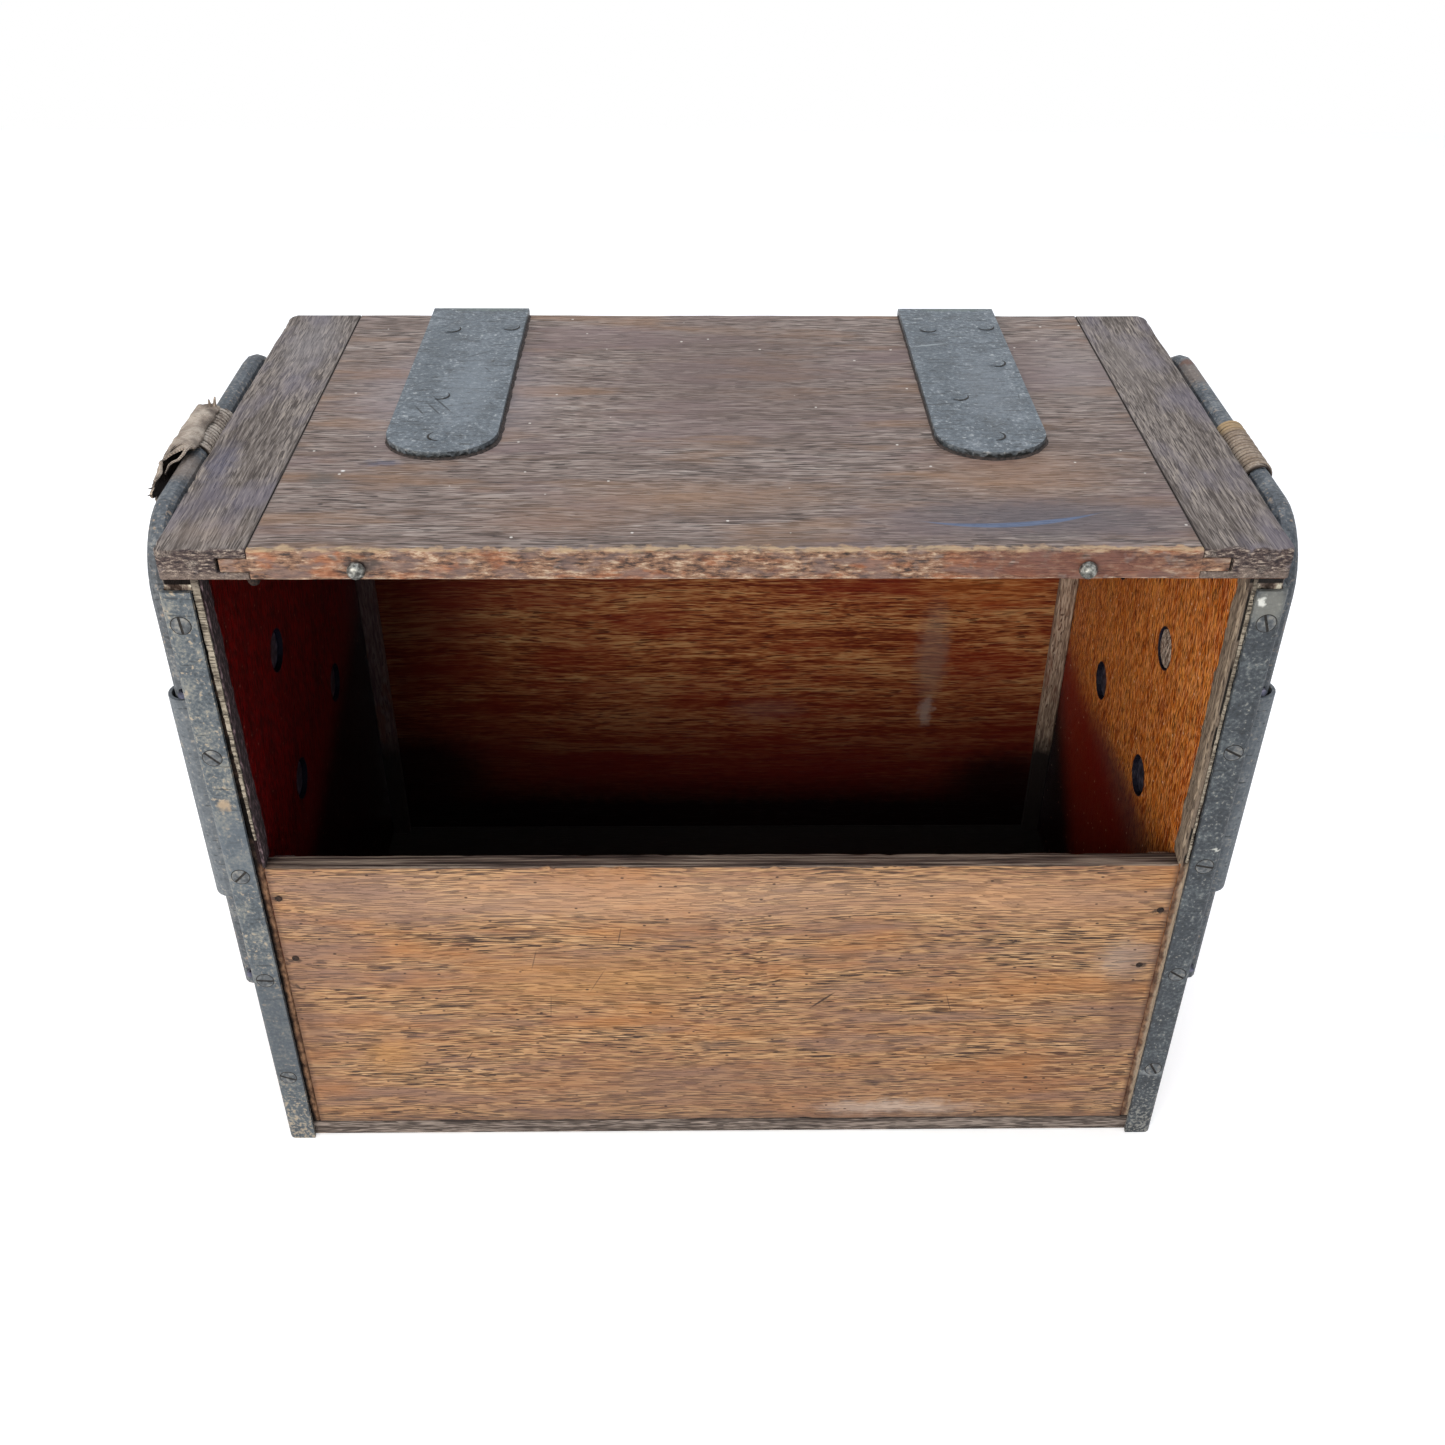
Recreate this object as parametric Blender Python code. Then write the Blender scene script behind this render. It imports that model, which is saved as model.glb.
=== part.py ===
# A wooden battery crate with a hinged lid, steel corner straps and a sliding bail handle on each side.
#
# Metres. The origin is the middle of the crate's underside; +X is its right, +Y its back and +Z up.
# The upper half of the front is sawn away, so the crate is open there like a box on its shelf.

import math

import bmesh
import bpy
from mathutils import Vector

# Driving sizes of the wooden case.
BODY_WIDTH = 0.4311
BODY_DEPTH = 0.240
BODY_HEIGHT = 0.3245
BOTTOM_THICKNESS = 0.0095
SIDE_THICKNESS = 0.0141
FRONT_THICKNESS = 0.009
FRONT_HEIGHT = 0.1675
BACK_THICKNESS = 0.0095
FILLET_WIDTH = 0.010
FILLET_THICKNESS = 0.0055
FRONT_FILLET_DROP = 0.004

# Driving sizes of the lid.
LID_THICKNESS = 0.0128
LID_SIDE_OVERHANG = 0.00045
LID_FRONT_OVERHANG = 0.003
BATTEN_WIDTH = 0.035
BATTEN_CORNER = 0.0025
TONGUE_LENGTH = 0.011
TONGUE_END_AIR = 0.001
GROOVE_UPPER_CHEEK = 0.0036
GROOVE_WIDTH = 0.0062

# Driving sizes of the ironwork.
STRAP_LEG = 0.0128
STRAP_THICKNESS = 0.002
STRAP_HEIGHT = 0.3188
STRAP_ROUND = 0.003
HINGE_WIDTH = 0.0475
HINGE_THICKNESS = 0.003
HINGE_REACH = 0.1658
HINGE_TIP_ROUND = 0.0207
HINGE_DROP = 0.052
HINGE_BEND = 0.0018
HINGE_INSETS = {"left": 0.0956, "right": 0.1011}
KNUCKLE_RADIUS = 0.0055
KNUCKLE_COUNT = 5
PIN_END = 0.0008
HANDLE_RADIUS = 0.00475
HANDLE_BACK_MARGIN = 0.0108
HANDLE_BEND = 0.027
HANDLE_BELOW_LID_TOP = 0.0054
HANDLE_LENGTH = 0.244
PLATE_THICKNESS = 0.0016
PLATE_BELOW_LID_TOP = 0.078
PLATE_HEIGHT = 0.108
EYE_CLEARANCE = 0.00135
BOLT_LEG_INSET = 0.0553
BOLT_UPPER_INSET = 0.016
BOLT_LOWER_INSET = 0.019
BOLT_RADIUS = 0.0039
BOLT_END = 0.002
HEAD_RADIUS = 0.0096
HEAD_THICKNESS = 0.003
HEAD_DEPTH = 0.0022
NUT_RADIUS = 0.0075
NUT_THICKNESS = 0.0062
CORD_RADIUS = 0.00095
CORD_PITCH = 0.0025
CORD_STARTS = {"left": -0.0285, "right": -0.047}
CORD_TURNS = {"left": 16, "right": 18}

# Shared fits.
GAP = 0.0003
OVERRUN = 0.004
EDGE_EASE = 0.0008
WELD = 0.000001

# Places that several pieces share.
INNER_HALF_WIDTH = BODY_WIDTH / 2 - SIDE_THICKNESS
LID_BOTTOM = BODY_HEIGHT + GAP
LID_TOP = LID_BOTTOM + LID_THICKNESS
LID_HALF_WIDTH = BODY_WIDTH / 2 + LID_SIDE_OVERHANG
LID_FRONT = -BODY_DEPTH / 2 - LID_FRONT_OVERHANG
LID_DEPTH = BODY_DEPTH + LID_FRONT_OVERHANG
WALL_BOTTOM = BOTTOM_THICKNESS + GAP
WALL_HEIGHT = BODY_HEIGHT - WALL_BOTTOM
STRAP_PROUD = GAP + STRAP_THICKNESS
HINGE_AXIS_Y = BODY_DEPTH / 2 + GAP + KNUCKLE_RADIUS
HINGE_AXIS_Z = LID_BOTTOM
LEAF_TOP = LID_TOP + GAP + HINGE_THICKNESS
HINGE_TIP_Y = BODY_DEPTH / 2 - HINGE_REACH - HINGE_AXIS_Y
PLATE_INNER_X = BODY_WIDTH / 2 + GAP
EYE_BORE = HANDLE_RADIUS + EYE_CLEARANCE
EYE_RADIUS = EYE_BORE + PLATE_THICKNESS
HANDLE_X = PLATE_INNER_X + EYE_RADIUS
HANDLE_FRONT_Y = -BODY_DEPTH / 2 - STRAP_PROUD + STRAP_LEG + GAP + EYE_RADIUS
HANDLE_BACK_Y = BODY_DEPTH / 2 + STRAP_PROUD - STRAP_LEG - HANDLE_BACK_MARGIN - EYE_RADIUS
HANDLE_SPAN = HANDLE_BACK_Y - HANDLE_FRONT_Y
HANDLE_CENTRE_Y = HANDLE_FRONT_Y + HANDLE_SPAN / 2
HANDLE_BAR_Z = LID_TOP - HANDLE_BELOW_LID_TOP
HANDLE_FOOT_Z = LID_TOP - HANDLE_LENGTH
PLATE_TOP = LID_TOP - PLATE_BELOW_LID_TOP
PLATE_BOTTOM = PLATE_TOP - PLATE_HEIGHT
BOLT_HEIGHTS = (PLATE_TOP - BOLT_UPPER_INSET, PLATE_BOTTOM + BOLT_LOWER_INSET)
BOLT_LENGTH = SIDE_THICKNESS + 2 * GAP + PLATE_THICKNESS + NUT_THICKNESS + BOLT_END

# How finely round forms are divided.
BOLT_SIDES = 16
CURL_STEPS = 20
CORNER_STEPS = 5
ROD_SIDES_RESOLUTION = 4
BEND_STEPS = 8
CORD_STEPS = 20
SHARP_ANGLE = math.radians(40)

SIDES = {"left": -1, "right": 1}


def clear_scene():
    for obj in list(bpy.data.objects):
        bpy.data.objects.remove(obj, do_unlink=True)


def finish(name, colour, roughness, metallic=0.0):
    """A plain Principled material in the piece's colour."""
    material = bpy.data.materials.new(name)
    material.use_nodes = True
    shader = material.node_tree.nodes["Principled BSDF"]
    shader.inputs["Base Color"].default_value = (*colour, 1.0)
    shader.inputs["Roughness"].default_value = roughness
    shader.inputs["Metallic"].default_value = metallic
    material.diffuse_color = (*colour, 1.0)
    return material


def make_finishes():
    return {
        "lid wood": finish("weathered lid wood", (0.18, 0.125, 0.095), 0.75),
        "batten wood": finish("grey end batten wood", (0.135, 0.11, 0.095), 0.8),
        "front wood": finish("golden front wood", (0.38, 0.2, 0.075), 0.6),
        "side wood": finish("varnished side wood", (0.3, 0.11, 0.03), 0.5),
        "back wood": finish("varnished back wood", (0.17, 0.06, 0.025), 0.5),
        "bottom wood": finish("worn bottom wood", (0.2, 0.12, 0.07), 0.75),
        "fillet wood": finish("pale fillet wood", (0.24, 0.2, 0.16), 0.85),
        "strap steel": finish("worn grey painted strap steel", (0.1, 0.115, 0.125), 0.55, 0.4),
        "hinge steel": finish("blue grey painted hinge steel", (0.075, 0.09, 0.105), 0.5, 0.4),
        "handle steel": finish("worn painted rod steel", (0.08, 0.09, 0.1), 0.5, 0.5),
        "bolt steel": finish("dark bolt steel", (0.05, 0.055, 0.07), 0.5, 0.7),
        "stud steel": finish("bare grey stud steel", (0.22, 0.23, 0.22), 0.4, 0.8),
        "plug wood": finish("tan plug wood", (0.4, 0.25, 0.13), 0.8),
        "cord": finish("waxed brown cord", (0.13, 0.1, 0.075), 0.85),
        "canvas": finish("faded tan canvas", (0.33, 0.24, 0.15), 0.9),
    }


def mesh_from(name, bm, smooth_angle=None):
    mesh = bpy.data.meshes.new(name)
    bmesh.ops.recalc_face_normals(bm, faces=bm.faces)
    bm.to_mesh(mesh)
    bm.free()
    if smooth_angle is not None:
        mesh.shade_smooth()
        mesh.set_sharp_from_angle(angle=smooth_angle)
    return mesh


def add_object(name, data, place, material=None, parent=None):
    """Adds a piece whose own origin lies at a place in the crate's frame."""
    obj = bpy.data.objects.new(name, data)
    bpy.context.collection.objects.link(obj)
    obj.parent = parent
    obj.location = Vector(place) - (parent.location if parent else Vector())
    if material:
        obj.data.materials.append(material)
    return obj


def add_empty(name, place):
    return add_object(name, None, place)


def make_cutter(name, data, place):
    """A shape that is only subtracted: it's hidden and drawn as wire."""
    cutter = add_object(name, data, place)
    cutter.hide_render = True
    cutter.display_type = "WIRE"
    return cutter


def cut(obj, cutter, operation="DIFFERENCE"):
    modifier = obj.modifiers.new(cutter.name, "BOOLEAN")
    modifier.operation = operation
    modifier.solver = "EXACT"
    modifier.object = cutter


def ease_edges(obj, width):
    """Rubs the sawn edges down by a small flat."""
    modifier = obj.modifiers.new("eased edges", "BEVEL")
    modifier.width = width
    modifier.segments = 1
    modifier.limit_method = "ANGLE"


def block(size):
    bm = bmesh.new()
    bmesh.ops.create_cube(bm, size=1)
    bmesh.ops.scale(bm, vec=size, verts=bm.verts)
    return bm


def prism(outline, axis, low, high):
    """Extrudes a flat outline along an axis; the outline is given in the two other axes, in X, Y, Z order."""
    lift = {
        "X": lambda u, v: (low, u, v),
        "Y": lambda u, v: (u, low, v),
        "Z": lambda u, v: (u, v, low),
    }[axis]
    travel = {"X": (high - low, 0, 0), "Y": (0, high - low, 0), "Z": (0, 0, high - low)}[axis]
    bm = bmesh.new()
    face = bm.faces.new([bm.verts.new(lift(u, v)) for u, v in outline])
    swept = bmesh.ops.extrude_face_region(bm, geom=[face])
    moved = [item for item in swept["geom"] if isinstance(item, bmesh.types.BMVert)]
    bmesh.ops.translate(bm, vec=travel, verts=moved)
    return bm


def turned(profile, sides):
    """Spins a profile of (radius, height) points round Z."""
    bm = bmesh.new()
    verts = [bm.verts.new((radius, 0, height)) for radius, height in profile]
    edges = [bm.edges.new(pair) for pair in zip(verts, verts[1:])]
    bmesh.ops.spin(bm, geom=verts + edges, cent=(0, 0, 0), axis=(0, 0, 1), angle=math.tau,
                   steps=sides, use_merge=True)
    bmesh.ops.remove_doubles(bm, verts=bm.verts, dist=WELD)
    return bm


def arc(centre, radius, start, end, steps):
    """Points along an arc in a plane, from one angle in degrees to another."""
    angles = [math.radians(start + (end - start) * step / steps) for step in range(steps + 1)]
    return [(centre[0] + radius * math.cos(angle), centre[1] + radius * math.sin(angle)) for angle in angles]


def sheet_outline(stations, thickness):
    """The closed outline of bent sheet, from (point, unit normal) stations along its middle."""
    outer = [(p[0] + n[0] * thickness / 2, p[1] + n[1] * thickness / 2) for p, n in stations]
    inner = [(p[0] - n[0] * thickness / 2, p[1] - n[1] * thickness / 2) for p, n in stations]
    return outer + inner[::-1]


def curl_stations(centre, radius, start, end):
    """Stations round a rolled eye, with the normals pointing away from its centre."""
    normals = arc((0, 0), 1, start, end, CURL_STEPS)
    return [((centre[0] + radius * u, centre[1] + radius * v), (u, v)) for u, v in normals]


def rod_mesh(name, points, radius, resolution):
    """A round rod bent along a line of points, with flat ends."""
    curve = tube_curve(name + " line", points, radius, resolution)
    bender = add_object(name + " line", curve, (0, 0, 0))
    bpy.context.view_layer.update()
    depsgraph = bpy.context.evaluated_depsgraph_get()
    mesh = bpy.data.meshes.new_from_object(bender.evaluated_get(depsgraph))
    bpy.data.objects.remove(bender, do_unlink=True)
    bm = bmesh.new()
    bm.from_mesh(mesh)
    bmesh.ops.remove_doubles(bm, verts=bm.verts, dist=WELD)
    return mesh_from(name, bm, SHARP_ANGLE)


def tube_curve(name, points, radius, resolution):
    curve = bpy.data.curves.new(name, "CURVE")
    curve.dimensions = "3D"
    curve.bevel_depth = radius
    curve.bevel_resolution = resolution
    curve.render_resolution_u = 0
    curve.use_fill_caps = True
    spline = curve.splines.new("POLY")
    spline.points.add(len(points) - 1)
    for knot, point in zip(spline.points, points):
        knot.co = (*point, 1)
    return curve


def add_board(name, size, centre, material, parent=None):
    board = add_object(name, mesh_from(name, block(size)), centre, material, parent)
    ease_edges(board, EDGE_EASE)
    return board


def make_bottom(finishes):
    """The floor of the crate, nailed up under the walls, so its edge shows below the front board."""
    size = (BODY_WIDTH, BODY_DEPTH, BOTTOM_THICKNESS)
    add_board("bottom_board", size, (0, 0, BOTTOM_THICKNESS / 2), finishes["bottom wood"])


def make_side(side, finishes):
    size = (SIDE_THICKNESS, BODY_DEPTH, WALL_HEIGHT)
    centre = (SIDES[side] * (BODY_WIDTH - SIDE_THICKNESS) / 2, 0, WALL_BOTTOM + WALL_HEIGHT / 2)
    return add_board(side + "_side_board", size, centre, finishes["side wood"])


def make_front(finishes):
    """The lower half of the front, held between the side boards; its upper half is sawn off."""
    size = (2 * (INNER_HALF_WIDTH - GAP), FRONT_THICKNESS, FRONT_HEIGHT)
    centre = (0, (FRONT_THICKNESS - BODY_DEPTH) / 2, WALL_BOTTOM + FRONT_HEIGHT / 2)
    add_board("front_board", size, centre, finishes["front wood"])


def make_back(finishes):
    size = (2 * (INNER_HALF_WIDTH - GAP), BACK_THICKNESS, WALL_HEIGHT)
    centre = (0, (BODY_DEPTH - BACK_THICKNESS) / 2, WALL_BOTTOM + WALL_HEIGHT / 2)
    add_board("back_board", size, centre, finishes["back wood"])


def make_fillets(finishes):
    """Thin upright strips in the inner corners, which the front and back boards are nailed to."""
    board_inner = {"front": BODY_DEPTH / 2 - FRONT_THICKNESS, "back": BODY_DEPTH / 2 - BACK_THICKNESS}
    height = {"front": FRONT_HEIGHT - FRONT_FILLET_DROP, "back": WALL_HEIGHT}
    facing = {"front": -1, "back": 1}
    for end in ("front", "back"):
        for side, sign in SIDES.items():
            size = (FILLET_WIDTH, FILLET_THICKNESS, height[end])
            centre = (
                sign * (INNER_HALF_WIDTH - GAP - FILLET_WIDTH / 2),
                facing[end] * (board_inner[end] - GAP - FILLET_THICKNESS / 2),
                WALL_BOTTOM + height[end] / 2,
            )
            add_board(f"{end}_{side}_fillet", size, centre, finishes["fillet wood"])


def make_corner_straps(finishes):
    """Steel angle with a round arris, screwed over each upright corner from the floor up."""
    inner_round = STRAP_ROUND - STRAP_THICKNESS
    inner_corner = (STRAP_THICKNESS + inner_round, STRAP_THICKNESS + inner_round)
    outline = [(STRAP_LEG, 0), (STRAP_LEG, STRAP_THICKNESS)]
    outline += arc(inner_corner, inner_round, 270, 180, CORNER_STEPS)
    outline += [(STRAP_THICKNESS, STRAP_LEG), (0, STRAP_LEG)]
    outline += arc((STRAP_ROUND, STRAP_ROUND), STRAP_ROUND, 180, 270, CORNER_STEPS)
    for end, facing in (("front", 1), ("back", -1)):
        for side, sign in SIDES.items():
            corner = (sign * (BODY_WIDTH / 2 + STRAP_PROUD), -facing * (BODY_DEPTH / 2 + STRAP_PROUD), 0)
            turned_outline = [(-sign * u, facing * v) for u, v in outline]
            name = f"{end}_{side}_corner_strap"
            mesh = mesh_from(name, prism(turned_outline, "Z", 0, STRAP_HEIGHT), SHARP_ANGLE)
            add_object(name, mesh, corner, finishes["strap steel"])


def make_lid(finishes, hinge):
    """A panel with a tongue at each end, held by a grooved batten at each end."""
    joint_x = LID_HALF_WIDTH - BATTEN_WIDTH
    groove_top = LID_THICKNESS - GROOVE_UPPER_CHEEK
    groove_bottom = groove_top - GROOVE_WIDTH
    panel_end = joint_x - GAP
    tongue_end = panel_end + TONGUE_LENGTH
    right_end = [
        (panel_end, 0),
        (panel_end, groove_bottom + GAP),
        (tongue_end, groove_bottom + GAP),
        (tongue_end, groove_top - GAP),
        (panel_end, groove_top - GAP),
        (panel_end, LID_THICKNESS),
    ]
    outline = right_end + [(-x, z) for x, z in right_end[::-1]]
    place = (0, LID_FRONT, LID_BOTTOM)
    panel = add_object(
        "lid_panel", mesh_from("lid_panel", prism(outline, "Y", 0, LID_DEPTH)), place,
        finishes["lid wood"], hinge)
    groove_end = tongue_end + TONGUE_END_AIR
    for side, sign in SIDES.items():
        batten_outline = [
            (joint_x, 0),
            (LID_HALF_WIDTH, 0),
            (LID_HALF_WIDTH, LID_THICKNESS),
            (joint_x, LID_THICKNESS),
            (joint_x, groove_top),
            (groove_end, groove_top),
            (groove_end, groove_bottom),
            (joint_x, groove_bottom),
        ]
        mirrored = [(sign * x, z) for x, z in batten_outline]
        name = f"lid_{side}_batten"
        mesh = mesh_from(name, prism(mirrored, "Y", 0, LID_DEPTH))
        round_outer_corners(mesh, sign)
        add_object(name, mesh, place, finishes["batten wood"], hinge)
    return panel


def round_outer_corners(mesh, sign):
    """Rounds the two upright edges at the batten's outer end."""
    bm = bmesh.new()
    bm.from_mesh(mesh)
    corner_edges = [
        edge for edge in bm.edges
        if all(abs(vert.co.x - sign * LID_HALF_WIDTH) < WELD for vert in edge.verts)
        and abs(edge.verts[0].co.y - edge.verts[1].co.y) < WELD
    ]
    bmesh.ops.bevel(bm, geom=corner_edges, offset=BATTEN_CORNER, segments=CORNER_STEPS, affect="EDGES",
                    profile=0.5)
    bm.to_mesh(mesh)
    bm.free()


def make_studs(finishes, panel, hinge):
    """Two round-headed pins in the lid's front edge, left from its fastening."""
    insets = {"left": 0.0756, "right": 0.0783}
    below_top = 0.0078
    head_radius = 0.0035
    head_length = 0.0036
    neck_radius = 0.002
    neck_length = 0.0012
    depth = 0.012
    dome_steps = 4
    dome = arc((0, 0), 1, 0, 90, dome_steps)
    dome_share = 0.75
    dome_start = neck_length + head_length * (1 - dome_share)
    profile = [(0, -depth), (neck_radius, -depth), (neck_radius, neck_length), (head_radius, neck_length)]
    profile += [(head_radius * u, dome_start + head_length * dome_share * v) for u, v in dome[:-1]]
    profile += [(0, neck_length + head_length)]
    hole_profile = [
        (0, -depth - GAP),
        (neck_radius + GAP, -depth - GAP),
        (neck_radius + GAP, OVERRUN),
        (0, OVERRUN),
    ]
    for side, sign in SIDES.items():
        place = (sign * (BODY_WIDTH / 2 - insets[side]), LID_FRONT, LID_TOP - below_top)
        name = f"lid_{side}_stud"
        mesh = mesh_from(name, turned(profile, BOLT_SIDES), SHARP_ANGLE)
        stud = add_object(name, mesh, place, finishes["stud steel"], hinge)
        stud.rotation_euler = (math.radians(90), 0, 0)
        hole = make_cutter(name + " hole", mesh_from(name + " hole", turned(hole_profile, BOLT_SIDES)), place)
        hole.rotation_euler = (math.radians(90), 0, 0)
        cut(panel, hole)


def knuckle_edges():
    """The X limits of each knuckle, from the hinge's left edge to its right."""
    step = HINGE_WIDTH / KNUCKLE_COUNT
    left = -HINGE_WIDTH / 2
    return [(left + step * number, left + step * (number + 1)) for number in range(KNUCKLE_COUNT)]


def notch_knuckles(leaf, place, numbers):
    """Cuts away the other leaf's knuckles, with air at each side."""
    reach = KNUCKLE_RADIUS + GAP
    for number in numbers:
        low, high = knuckle_edges()[number]
        size = (high - low + GAP, 2 * reach, 2 * reach)
        name = f"{leaf.name} notch {number}"
        centre = Vector(place) + Vector(((low + high) / 2, 0, 0))
        cut(leaf, make_cutter(name, mesh_from(name, block(size)), centre))


def make_hinge(side, x, finishes, hinge):
    """A strap hinge: a long leaf bent over the lid's back edge, a short back leaf, and a loose pin."""
    axis = (x, HINGE_AXIS_Y, HINGE_AXIS_Z)
    roll = KNUCKLE_RADIUS - HINGE_THICKNESS / 2
    curl_turn = 290
    bend_steps = 5
    half_width = HINGE_WIDTH / 2
    level = LEAF_TOP - HINGE_THICKNESS / 2 - HINGE_AXIS_Z
    bend = arc((0, 0), 1, 90, 0, bend_steps)
    lid_stations = [((HINGE_TIP_Y, level), (0, 1))]
    lid_stations += [((HINGE_BEND * (u - 1) - roll, level + HINGE_BEND * (v - 1)), (u, v)) for u, v in bend]
    lid_stations += [(point, (-u, -v)) for point, (u, v) in curl_stations((0, 0), roll, 180, 180 + curl_turn)]
    name = f"lid_{side}_hinge_leaf"
    mesh = mesh_from(name, prism(sheet_outline(lid_stations, HINGE_THICKNESS), "X", -half_width, half_width),
                     SHARP_ANGLE)
    lid_leaf = add_object(name, mesh, axis, finishes["hinge steel"], hinge)
    cut(lid_leaf, make_tip_cutter(name, axis), "INTERSECT")
    notch_knuckles(lid_leaf, axis, range(0, KNUCKLE_COUNT, 2))

    back_stations = [((-roll, -HINGE_DROP), (-1, 0))]
    back_stations += curl_stations((0, 0), roll, 180, 180 - curl_turn)
    name = f"back_{side}_hinge_leaf"
    mesh = mesh_from(name, prism(sheet_outline(back_stations, HINGE_THICKNESS), "X", -half_width, half_width),
                     SHARP_ANGLE)
    back_leaf = add_object(name, mesh, axis, finishes["hinge steel"])
    notch_knuckles(back_leaf, axis, range(1, KNUCKLE_COUNT, 2))
    make_hinge_pin(side, axis, finishes)


def make_tip_cutter(name, axis):
    """The plan outline of the lid leaf: straight sides and a round front end."""
    tip = HINGE_TIP_Y
    half_width = HINGE_WIDTH / 2
    unit_round = arc((0, 0), 1, 180, 360, CURL_STEPS)
    rear = KNUCKLE_RADIUS + OVERRUN
    outline = [(half_width * u, tip + HINGE_TIP_ROUND * (1 + v)) for u, v in unit_round]
    outline += [(half_width + OVERRUN, tip + HINGE_TIP_ROUND), (half_width + OVERRUN, rear)]
    outline += [(-half_width - OVERRUN, rear), (-half_width - OVERRUN, tip + HINGE_TIP_ROUND)]
    below = KNUCKLE_RADIUS + OVERRUN
    above = LEAF_TOP - HINGE_AXIS_Z + OVERRUN
    mesh = mesh_from(name + " plan", prism(outline, "Z", -below, above))
    return make_cutter(name + " plan", mesh, axis)


def make_hinge_pin(side, axis, finishes):
    length = HINGE_WIDTH + 2 * PIN_END
    radius = KNUCKLE_RADIUS - HINGE_THICKNESS - GAP
    chamfer_share = 0.25
    chamfer = radius * chamfer_share
    profile = [
        (0, -length / 2),
        (radius - chamfer, -length / 2),
        (radius, -length / 2 + chamfer),
        (radius, length / 2 - chamfer),
        (radius - chamfer, length / 2),
        (0, length / 2),
    ]
    name = f"{side}_hinge_pin"
    mesh = mesh_from(name, turned(profile, BOLT_SIDES), SHARP_ANGLE)
    pin = add_object(name, mesh, axis, finishes["bolt steel"])
    pin.rotation_euler = (0, math.radians(90), 0)


def make_handle_plate(side, finishes):
    """One sheet down the side of the case, its two ends rolled outward into long eyes for the handle's legs."""
    sign = SIDES[side]
    roll = EYE_RADIUS - PLATE_THICKNESS / 2
    front_eye = (0, -HANDLE_SPAN / 2)
    back_eye = (0, HANDLE_SPAN / 2)
    curl_turn = 314
    front = curl_stations(front_eye, roll, 180 + curl_turn, 180)
    back = curl_stations(back_eye, roll, 180, 180 - curl_turn)
    outline = [(sign * u, v) for u, v in sheet_outline(front + back, PLATE_THICKNESS)]
    name = side + "_handle_plate"
    mesh = mesh_from(name, prism(outline, "Z", 0, PLATE_HEIGHT), SHARP_ANGLE)
    return add_object(name, mesh, (sign * HANDLE_X, HANDLE_CENTRE_Y, PLATE_BOTTOM), finishes["handle steel"])


def bolt_places():
    """Each bolt of a side: its name, its depth in the case and its height."""
    rows = zip(("upper", "lower"), BOLT_HEIGHTS)
    columns = {"front": HANDLE_FRONT_Y + BOLT_LEG_INSET, "back": HANDLE_BACK_Y - BOLT_LEG_INSET}
    return [(f"{row}_{column}", y, z) for row, z in rows for column, y in columns.items()]


def make_bolts(side, side_board, plate, finishes):
    """Four bolts that hold the plate, with their round heads sunk in the inner face and nuts outside."""
    sign = SIDES[side]
    hole_radius = BOLT_RADIUS + GAP
    recess_radius = HEAD_RADIUS + GAP
    chamfer = 0.0006
    shoulder = HEAD_DEPTH + HEAD_THICKNESS
    bolt_profile = [
        (0, HEAD_DEPTH),
        (HEAD_RADIUS - chamfer, HEAD_DEPTH),
        (HEAD_RADIUS, HEAD_DEPTH + chamfer),
        (HEAD_RADIUS, shoulder),
        (BOLT_RADIUS, shoulder),
        (BOLT_RADIUS, BOLT_LENGTH - chamfer),
        (BOLT_RADIUS - chamfer, BOLT_LENGTH),
        (0, BOLT_LENGTH),
    ]
    hole_profile = [
        (0, -OVERRUN),
        (recess_radius, -OVERRUN),
        (recess_radius, shoulder + GAP),
        (hole_radius, shoulder + GAP),
        (hole_radius, BOLT_LENGTH + OVERRUN),
        (0, BOLT_LENGTH + OVERRUN),
    ]
    nut_start = SIDE_THICKNESS + 2 * GAP + PLATE_THICKNESS
    nut_outline = arc((0, 0), NUT_RADIUS, 0, 300, 5)
    outward = (0, sign * math.radians(90), 0)
    for label, y, z in bolt_places():
        place = (sign * INNER_HALF_WIDTH, y, z)
        name = f"{side}_{label}_bolt"
        hole_name = name + " hole"
        hole = make_cutter(hole_name, mesh_from(hole_name, turned(hole_profile, BOLT_SIDES)), place)
        hole.rotation_euler = outward
        mesh = mesh_from(name, turned(bolt_profile, BOLT_SIDES), SHARP_ANGLE)
        bolt = add_object(name, mesh, place, finishes["bolt steel"])
        bolt.rotation_euler = outward
        nut_name = f"{side}_{label}_nut"
        nut_mesh = mesh_from(nut_name, prism(nut_outline, "Z", nut_start + GAP, nut_start + NUT_THICKNESS))
        nut = add_object(nut_name, nut_mesh, place, finishes["bolt steel"])
        nut.rotation_euler = outward
        for holed in (side_board, plate, nut):
            cut(holed, hole)


def make_plug(finishes):
    """A wooden plug still covers one bolt head on the right."""
    label, y, z = bolt_places()[0]
    profile = [(0, GAP), (HEAD_RADIUS, GAP), (HEAD_RADIUS, HEAD_DEPTH - GAP), (0, HEAD_DEPTH - GAP)]
    name = f"right_{label}_plug"
    mesh = mesh_from(name, turned(profile, BOLT_SIDES), SHARP_ANGLE)
    plug = add_object(name, mesh, (INNER_HALF_WIDTH, y, z), finishes["plug wood"])
    plug.rotation_euler = (0, math.radians(90), 0)


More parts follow.
